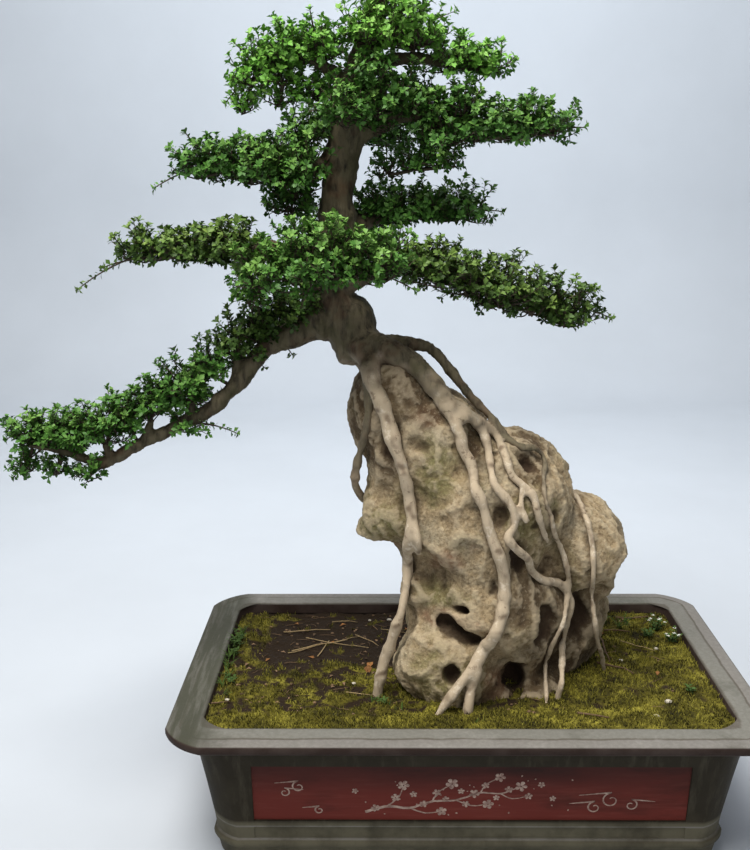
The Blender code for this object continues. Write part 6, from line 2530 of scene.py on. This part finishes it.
@dataclass
class Litter:
    """Straw, sticks, dry leaves, pebbles and small weeds on the ground."""

    ground: Ground
    crumbs: int = 620
    crumbs_across: tuple[float, float] = (-250.0, 230.0)
    crumbs_deep: tuple[float, float] = (-135.0, 146.0)
    seed: int = 31
    straw: Colour = (0.42, 0.31, 0.16)
    stick: Colour = (0.15, 0.095, 0.055)
    dry_leaf: Colour = (0.33, 0.15, 0.05)
    pale: Colour = (0.60, 0.55, 0.46)
    grass: Colour = (0.048, 0.088, 0.015)
    herb: Colour = (0.050, 0.094, 0.020)
    petal: Colour = (0.80, 0.80, 0.74)

    def lying(self, sheaf: Sheaf, start: tuple[float, float], end: tuple[float, float], radius: float,
              colour: Colour, draw: np.random.Generator) -> None:
        """Lay a thin stalk on the ground.

        Args:
            sheaf: what the stalk is added to.
            start: where it starts, in millimetres from the pot's centre.
            end: where it ends, likewise.
            radius: its radius at the start.
            colour: its colour.
            draw: source of random numbers.
        """
        first, last = np.array(start), np.array(end)
        count = max(4, int(np.linalg.norm(last - first) / 8.0))
        shares = np.linspace(0.0, 1.0, count)[:, None]
        flat = first + (last - first) * shares + draw.normal(0.0, 0.5, (count, 2))
        path = np.array([self.ground.on_ground(x, y, radius / MM * 0.6 + 1.2) for x, y in flat])
        path[1:-1, 2] = np.maximum(path[1:-1, 2], (path[:-2, 2] + path[2:, 2]) / 2)
        sheaf.tube(path, np.linspace(radius, radius * 0.6, count), 5, colour)

    def blade(self, sheaf: Sheaf, foot: np.ndarray, way: np.ndarray, tall: float, width: float,
              colour: Colour) -> None:
        """Grow one arching grass blade.

        Args:
            sheaf: what the blade is added to.
            foot: where it grows.
            way: the level way that it arches in.
            tall: its length.
            width: its width at the foot.
            colour: its colour.
        """
        shares = np.linspace(0.0, 1.0, 6)
        side = unit(np.cross(way, UP))
        points = []
        for share in shares:
            place = foot + way * tall * 0.75 * share ** 2 + tall * (share - 0.42 * share ** 2) * UP
            half = side * width / 2 * (1.0 - share ** 2) + side * 0.05 * MM
            points += [place - half, place + half]
        sheaf.add(np.array(points), np.array(grid_faces(len(shares), 2)), colour)

    def leaflet(self, sheaf: Sheaf, foot: np.ndarray, way: np.ndarray, size: float, colour: Colour,
                curl: float = 0.2) -> None:
        """Add one small leaf blade.

        Args:
            sheaf: what the blade is added to.
            foot: where it starts.
            way: the way that it points.
            size: its length.
            colour: its colour.
            curl: how strongly it curls.
        """
        side = unit(np.cross(way, UP))
        top = unit(np.cross(side, way))
        along, across = LEAF_ROWS[:, 0:1], LEAF_ROWS[:, 1:2]
        bowl = curl * (np.abs(across) - along ** 2) * top
        sheaf.add(foot + size * (along * way + 0.62 * across * side + bowl), LEAF_FACES, colour)

    def pebble(self, sheaf: Sheaf, across: float, deep: float, size: float, colour: Colour,
               draw: np.random.Generator) -> None:
        """Set a small rounded stone in the ground.

        Args:
            sheaf: what the stone is added to.
            across: its place, in millimetres from the pot's centre.
            deep: its place away from the viewer, likewise.
            size: its radius.
            colour: its colour.
            draw: source of random numbers.
        """
        bm = bmesh.new()
        bmesh.ops.create_icosphere(bm, subdivisions=2, radius=size)
        stretch = np.array((1.0, draw.uniform(0.7, 1.0), draw.uniform(0.5, 0.75)))
        middle = self.ground.on_ground(across, deep, size / MM * 0.2)
        points = np.array([
            np.array(vert.co) * stretch * (1.0 + 0.25 * noise.noise(vert.co * 160.0)) for vert in bm.verts
        ]) + middle
        faces = np.array([[vert.index for vert in face.verts] for face in bm.faces])
        bm.free()
        sheaf.add(points, faces, colour)

    def tuft(self, sheaf: Sheaf, across: float, deep: float, blades: int, tall: float,
             draw: np.random.Generator) -> None:
        """Grow a tuft of grass.

        Args:
            sheaf: what the blades are added to.
            across: its place, in millimetres from the pot's centre.
            deep: its place away from the viewer, likewise.
            blades: how many blades it has.
            tall: its height in millimetres.
            draw: source of random numbers.
        """
        for _ in range(blades):
            x, y = across + draw.normal(0.0, 2.2), deep + draw.normal(0.0, 1.6)
            if not self.ground.inside(x, y, 1.0):
                continue
            way = heading(draw.uniform(0.0, 2 * math.pi), 0.0)
            shade = tuple(np.array(self.grass) * draw.uniform(0.7, 1.5))
            length = tall * draw.uniform(0.5, 1.1) * MM
            width = draw.uniform(0.9, 1.7) * MM
            self.blade(sheaf, self.ground.on_ground(x, y, -0.5), way, length, width, shade)

    def weed(self, sheaf: Sheaf, across: float, deep: float, stems: int, tall: float, flowers: bool,
             draw: np.random.Generator) -> None:
        """Grow a small branching herb.

        Args:
            sheaf: what the herb is added to.
            across: its place, in millimetres from the pot's centre.
            deep: its place away from the viewer, likewise.
            stems: how many stems it has.
            tall: its height in millimetres.
            flowers: whether it flowers.
            draw: source of random numbers.
        """
        foot = self.ground.on_ground(across, deep, -0.5)
        for stem in range(stems):
            turn = stem * GOLDEN_ANGLE
            lean = draw.uniform(0.15, 0.75)
            way = unit(heading(turn, 1.0, lean))
            length = tall * draw.uniform(0.6, 1.1) * MM
            shares = np.linspace(0, 1, 5)
            bow = 0.15 * length
            path = np.array([foot + way * length * share - bow * share ** 2 * UP for share in shares])
            sheaf.tube(path, np.linspace(0.5 * MM, 0.3 * MM, 5), 4, self.herb)
            for index in range(9):
                place = path[0] + (path[-1] - path[0]) * (0.2 + 0.8 * index / 8)
                out = unit(heading(turn + index * GOLDEN_ANGLE, 0.45))
                shade = tuple(np.array(self.herb) * draw.uniform(0.8, 1.6))
                self.leaflet(sheaf, place, out, draw.uniform(3.5, 6.0) * MM, shade)
            if flowers:
                for petal in range(5):
                    out = unit(heading(petal * 2 * math.pi / 5, 0.35))
                    self.leaflet(sheaf, path[-1], out, 2.6 * MM, self.petal, 0.1)

    def build(self) -> bpy.types.Object:
        """Build and dress the litter and the weeds.

        Returns:
            The piece that lies on the ground.
        """
        draw = np.random.default_rng(self.seed)
        sheaf = Sheaf()
        for start, end in STRAWS:
            self.lying(sheaf, start, end, draw.uniform(0.55, 0.85) * MM, self.straw, draw)
        for start, end in STICKS:
            self.lying(sheaf, start, end, draw.uniform(0.9, 1.5) * MM, self.stick, draw)
        for across, deep, size in DRY_LEAVES:
            way = unit(heading(draw.uniform(0.0, 2 * math.pi), 0.10))
            foot = self.ground.on_ground(across, deep, 1.6)
            shade = tuple(np.array(self.dry_leaf) * draw.uniform(0.5, 1.2))
            self.leaflet(sheaf, foot, way, size * MM, shade, 0.35)
        for across, deep, size in PEBBLES:
            self.pebble(sheaf, across, deep, size * MM, self.pale, draw)
        self.scatter(sheaf, draw)
        for across, deep, blades, tall in TUFTS:
            self.tuft(sheaf, across, deep, blades, tall, draw)
        for across, deep, stems, tall, flowers in WEEDS:
            self.weed(sheaf, across, deep, stems, tall, flowers, draw)
        return dress(sheaf.piece("litter_and_weeds", [Tinted("litter").material()]), Slot.SOIL)

    def scatter(self, sheaf: Sheaf, draw: np.random.Generator) -> None:
        """Scatter crumbs, bits of leaf and short straws over the bare soil.

        Args:
            sheaf: what they are added to.
            draw: source of random numbers.
        """
        for _ in range(self.crumbs):
            across, deep = draw.uniform(*self.crumbs_across), draw.uniform(*self.crumbs_deep)
            shade = tuple(np.array(self.stick) * draw.uniform(0.3, 2.0))
            if self.ground.mossiness(across, deep) > 0.6:
                continue
            if draw.random() < 0.25:
                self.pebble(sheaf, across, deep, draw.uniform(0.8, 2.2) * MM, shade, draw)
            elif draw.random() < 0.5:
                turn = draw.uniform(0.0, 2 * math.pi)
                way = unit(heading(turn, draw.uniform(-0.1, 0.5)))
                foot = self.ground.on_ground(across, deep, 0.8)
                self.leaflet(sheaf, foot, way, draw.uniform(3.0, 7.0) * MM, shade, 0.3)
            else:
                turn, reach = draw.uniform(0.0, math.pi), draw.uniform(4.0, 22.0)
                end = (across + reach * math.cos(turn), deep + reach * 0.6 * math.sin(turn))
                if self.ground.inside(*end, 3.0):
                    self.lying(sheaf, (across, deep), end, draw.uniform(0.25, 0.5) * MM, shade, draw)


# Places on the ground, in millimetres from the pot's centre: from and to
STRAWS = (
    ((-192, 36), (-128, 66)), ((-178, 72), (-104, 40)), ((-160, 20), (-150, 66)), ((-120, 84), (-92, 50)),
    ((-206, 88), (-150, 96)), ((-90, 98), (-60, 86)), ((190, 60), (222, 30)), ((-196, 30), (-116, 78)),
    ((-150, 118), (-118, 122)), ((-126, -74), (-98, -78)), ((206, 126), (232, 140)),
    ((-70, 112), (-66, 126)),
)
STICKS = (
    ((120, 40), (168, 28)), ((176, 92), (206, 84)), ((150, -8), (186, -30)), ((-60, 60), (-30, 84)),
    ((-262, -104), (-244, -96)), ((108, -122), (138, -130)), ((168, 70), (164, -6)),
    ((200, 128), (240, 136)),
)
DRY_LEAVES = (
    (-104, -6, 16), (-150, 58, 9), (-60, 92, 8), (170, 80, 8), (214, -20, 8), (-214, 12, 7), (150, 110, 9),
    (-30, 110, 8), (-190, 112, 8), (60, 120, 8), (112, 96, 7), (-132, 112, 8), (-98, 4, 13), (-172, 22, 9),
)
PEBBLES = (
    (207, -93, 4.2), (187, -124, 3.4), (-118, -52, 2.4), (-248, -92, 2.6), (180, 10, 2.6), (226, 40, 2.8),
    (-80, 128, 3.2), (-104, 130, 2.0),
)
# Place, number of blades and height
TUFTS = (
    (-257, 58, 14, 26), (-259, 36, 12, 24), (-259, 14, 14, 22), (-255, 84, 10, 22), (-258, -8, 12, 18),
    (-257, -32, 12, 16), (-256, -58, 12, 15), (-252, -78, 8, 12), (150, 100, 9, 20), (196, 96, 12, 22),
    (180, 112, 8, 18), (205, 112, 6, 18), (-20, 128, 6, 20), (236, 96, 5, 16), (10, -140, 3, 9),
    (-96, -92, 8, 12), (-70, -110, 6, 10), (-84, -100, 6, 9),
)
# Place, number of stems, height, and whether it flowers
WEEDS = (
    (240, 96, 7, 22, True), (250, 62, 6, 19, True), (-257, 48, 5, 15, False), (-257, 74, 4, 14, False),
    (-257, 24, 4, 11, False), (236, -70, 3, 9, False), (90, 128, 4, 14, False), (-250, -46, 4, 12, False),
    (-88, -96, 4, 9, False), (226, 78, 5, 18, False),
)


@dataclass
class Screens:
    """The drainage screens, which keep the frame's own solids."""

    nodes: tuple[str, ...] = ("screen_left", "screen_right")
    plastic: PlainColour = PlainColour(
        Slot.SCREEN.value, (0.014, 0.016, 0.014), (0.030, 0.032, 0.028), 0.004, 0.55, 0.0001,
    )

    def dress(self) -> None:
        """Give both screens their moulded plastic."""
        finish = self.plastic.material()
        for name in self.nodes:
            item = frame["nodes"][name]
            item.data.materials.clear()
            item.data.materials.append(finish)


@dataclass(frozen=True)
class Lamp:
    """One soft square light: place and target from the pot's centre, size, power and colour."""

    name: str
    place: Point
    target: Point
    size: float
    power: float
    colour: Colour = WHITE

    def hang(self) -> None:
        """Hang the light so that it faces its target."""
        data = bpy.data.lights.new(self.name, "AREA")
        data.shape = "SQUARE"
        data.size = self.size
        data.energy = self.power
        data.color = self.colour
        item = bpy.data.objects.new(self.name, data)
        bpy.context.scene.collection.objects.link(item)
        item.location = POT_CENTRE + Vector(self.place)
        ahead = Vector(self.target) - Vector(self.place)
        item.rotation_euler = ahead.to_track_quat("-Z", "Y").to_euler()


@dataclass
class Studio:
    """Pale curved backdrop, soft light from above, and the camera."""

    lens: float = 45.74
    camera_from_pot: Point = (-0.080, -1.111, 0.6865)
    pitch: float = 13.39
    yaw: float = 0.74
    roll: float = 0.3
    floor_colour: Colour = (0.500, 0.535, 0.580)
    floor_front: float = 3.0
    wall_distance: float = 2.0
    wall_height: float = 4.0
    curve: float = 0.6
    curve_steps: int = 16
    half_width: float = 4.0
    air: Colour = (0.84, 0.90, 1.0)
    air_strength: float = 0.20
    lamps: tuple[Lamp, ...] = (
        Lamp("overhead", (-0.6, -0.8, 2.6), (0.0, 0.0, 0.4), 1.4, 102.0, (1.0, 0.975, 0.93)),
        Lamp("front", (0.5, -2.6, 1.2), (0.0, 0.0, 0.35), 2.2, 9.0, (1.0, 0.98, 0.96)),
        Lamp("back", (0.3, 0.75, 2.4), (0.0, 0.2, 0.5), 1.4, 16.0),
        Lamp("wall", (0.0, 0.9, 2.1), (0.0, 2.6, 1.3), 1.4, 34.0, (0.90, 0.955, 1.0)),
    )

    def backdrop(self) -> bpy.types.Object:
        """Make the floor that curves up into a wall.

        Returns:
            The backdrop, which is no part of the object.
        """
        profile = [(-self.floor_front, 0.0)]
        for step in range(self.curve_steps + 1):
            angle = step / self.curve_steps * math.pi / 2
            deep = self.wall_distance + self.curve * math.sin(angle)
            profile.append((deep, self.curve * (1.0 - math.cos(angle))))
        profile.append((self.wall_distance + self.curve, self.wall_height))
        points = [(side * self.half_width, deep, high) for deep, high in profile for side in (-1, 1)]
        sheaf = Sheaf()
        sheaf.add(np.array(points), np.array(grid_faces(len(profile), 2)))
        shade = tuple(0.94 * value for value in self.floor_colour)
        paper = PlainColour("backdrop_paper", shade, self.floor_colour, 0.4, 0.9, 0.0)
        item = sheaf.piece("backdrop", [paper.material()])
        return item

    def camera(self) -> None:
        """Set up the camera at the photograph's angle."""
        data = bpy.data.cameras.new("camera")
        data.lens = self.lens
        data.sensor_width = 36.0
        data.clip_end = 50.0
        item = bpy.data.objects.new("camera", data)
        bpy.context.scene.collection.objects.link(item)
        pitch, yaw, roll = (math.radians(value) for value in (self.pitch, self.yaw, self.roll))
        level = math.cos(pitch)
        ahead = Vector((-math.sin(yaw) * level, math.cos(yaw) * level, -math.sin(pitch)))
        right = Matrix.Rotation(roll, 3, ahead) @ Vector((math.cos(yaw), math.sin(yaw), 0.0))
        above = right.cross(ahead)
        turn = Matrix((right, above, -ahead)).transposed()
        item.matrix_world = Matrix.Translation(POT_CENTRE + Vector(self.camera_from_pot)) @ turn.to_4x4()
        bpy.context.scene.camera = item

    def build(self) -> None:
        """Set up backdrop, lights, world and camera."""
        self.backdrop()
        self.camera()
        for lamp in self.lamps:
            lamp.hang()
        world = bpy.data.worlds.new("studio")
        world.use_nodes = True
        air = world.node_tree.nodes["Background"]
        air.inputs["Color"].default_value = (*self.air, 1.0)
        air.inputs["Strength"].default_value = self.air_strength
        bpy.context.scene.world = world
        bpy.context.scene.view_settings.view_transform = "Standard"


def main() -> None:
    """Build each sub-assembly in order and report its pieces."""
    logging.basicConfig(level=logging.INFO, format="%(message)s")
    noise.seed_set(NOISE_SEED)
    Pot().build()
    PanelDesign().build()
    Screens().dress()
    stone, stone_form = Stone().build()
    wood = Wood().build(stone_form)
    wood_form = search_tree(wood)
    # Painted shade on the stone and the wood where they meet
    note_contact(stone, wood_form, Stone.contact_shade_reach)
    note_contact(wood, search_tree(stone), Wood.contact_shade_reach)
    Crown().build(wood_form)
    ground = Ground()
    dress(ground.body(), Slot.SOIL, "soil")
    dress(ground.fur(), Slot.SOIL)
    Litter(ground).build()
    Studio().build()
    total = sum(len(item.data.loop_triangles) for item in bpy.data.objects if item.type == "MESH")
    LOG.info("all meshes: %d triangles", total)


if __name__ == "__main__":
    main()
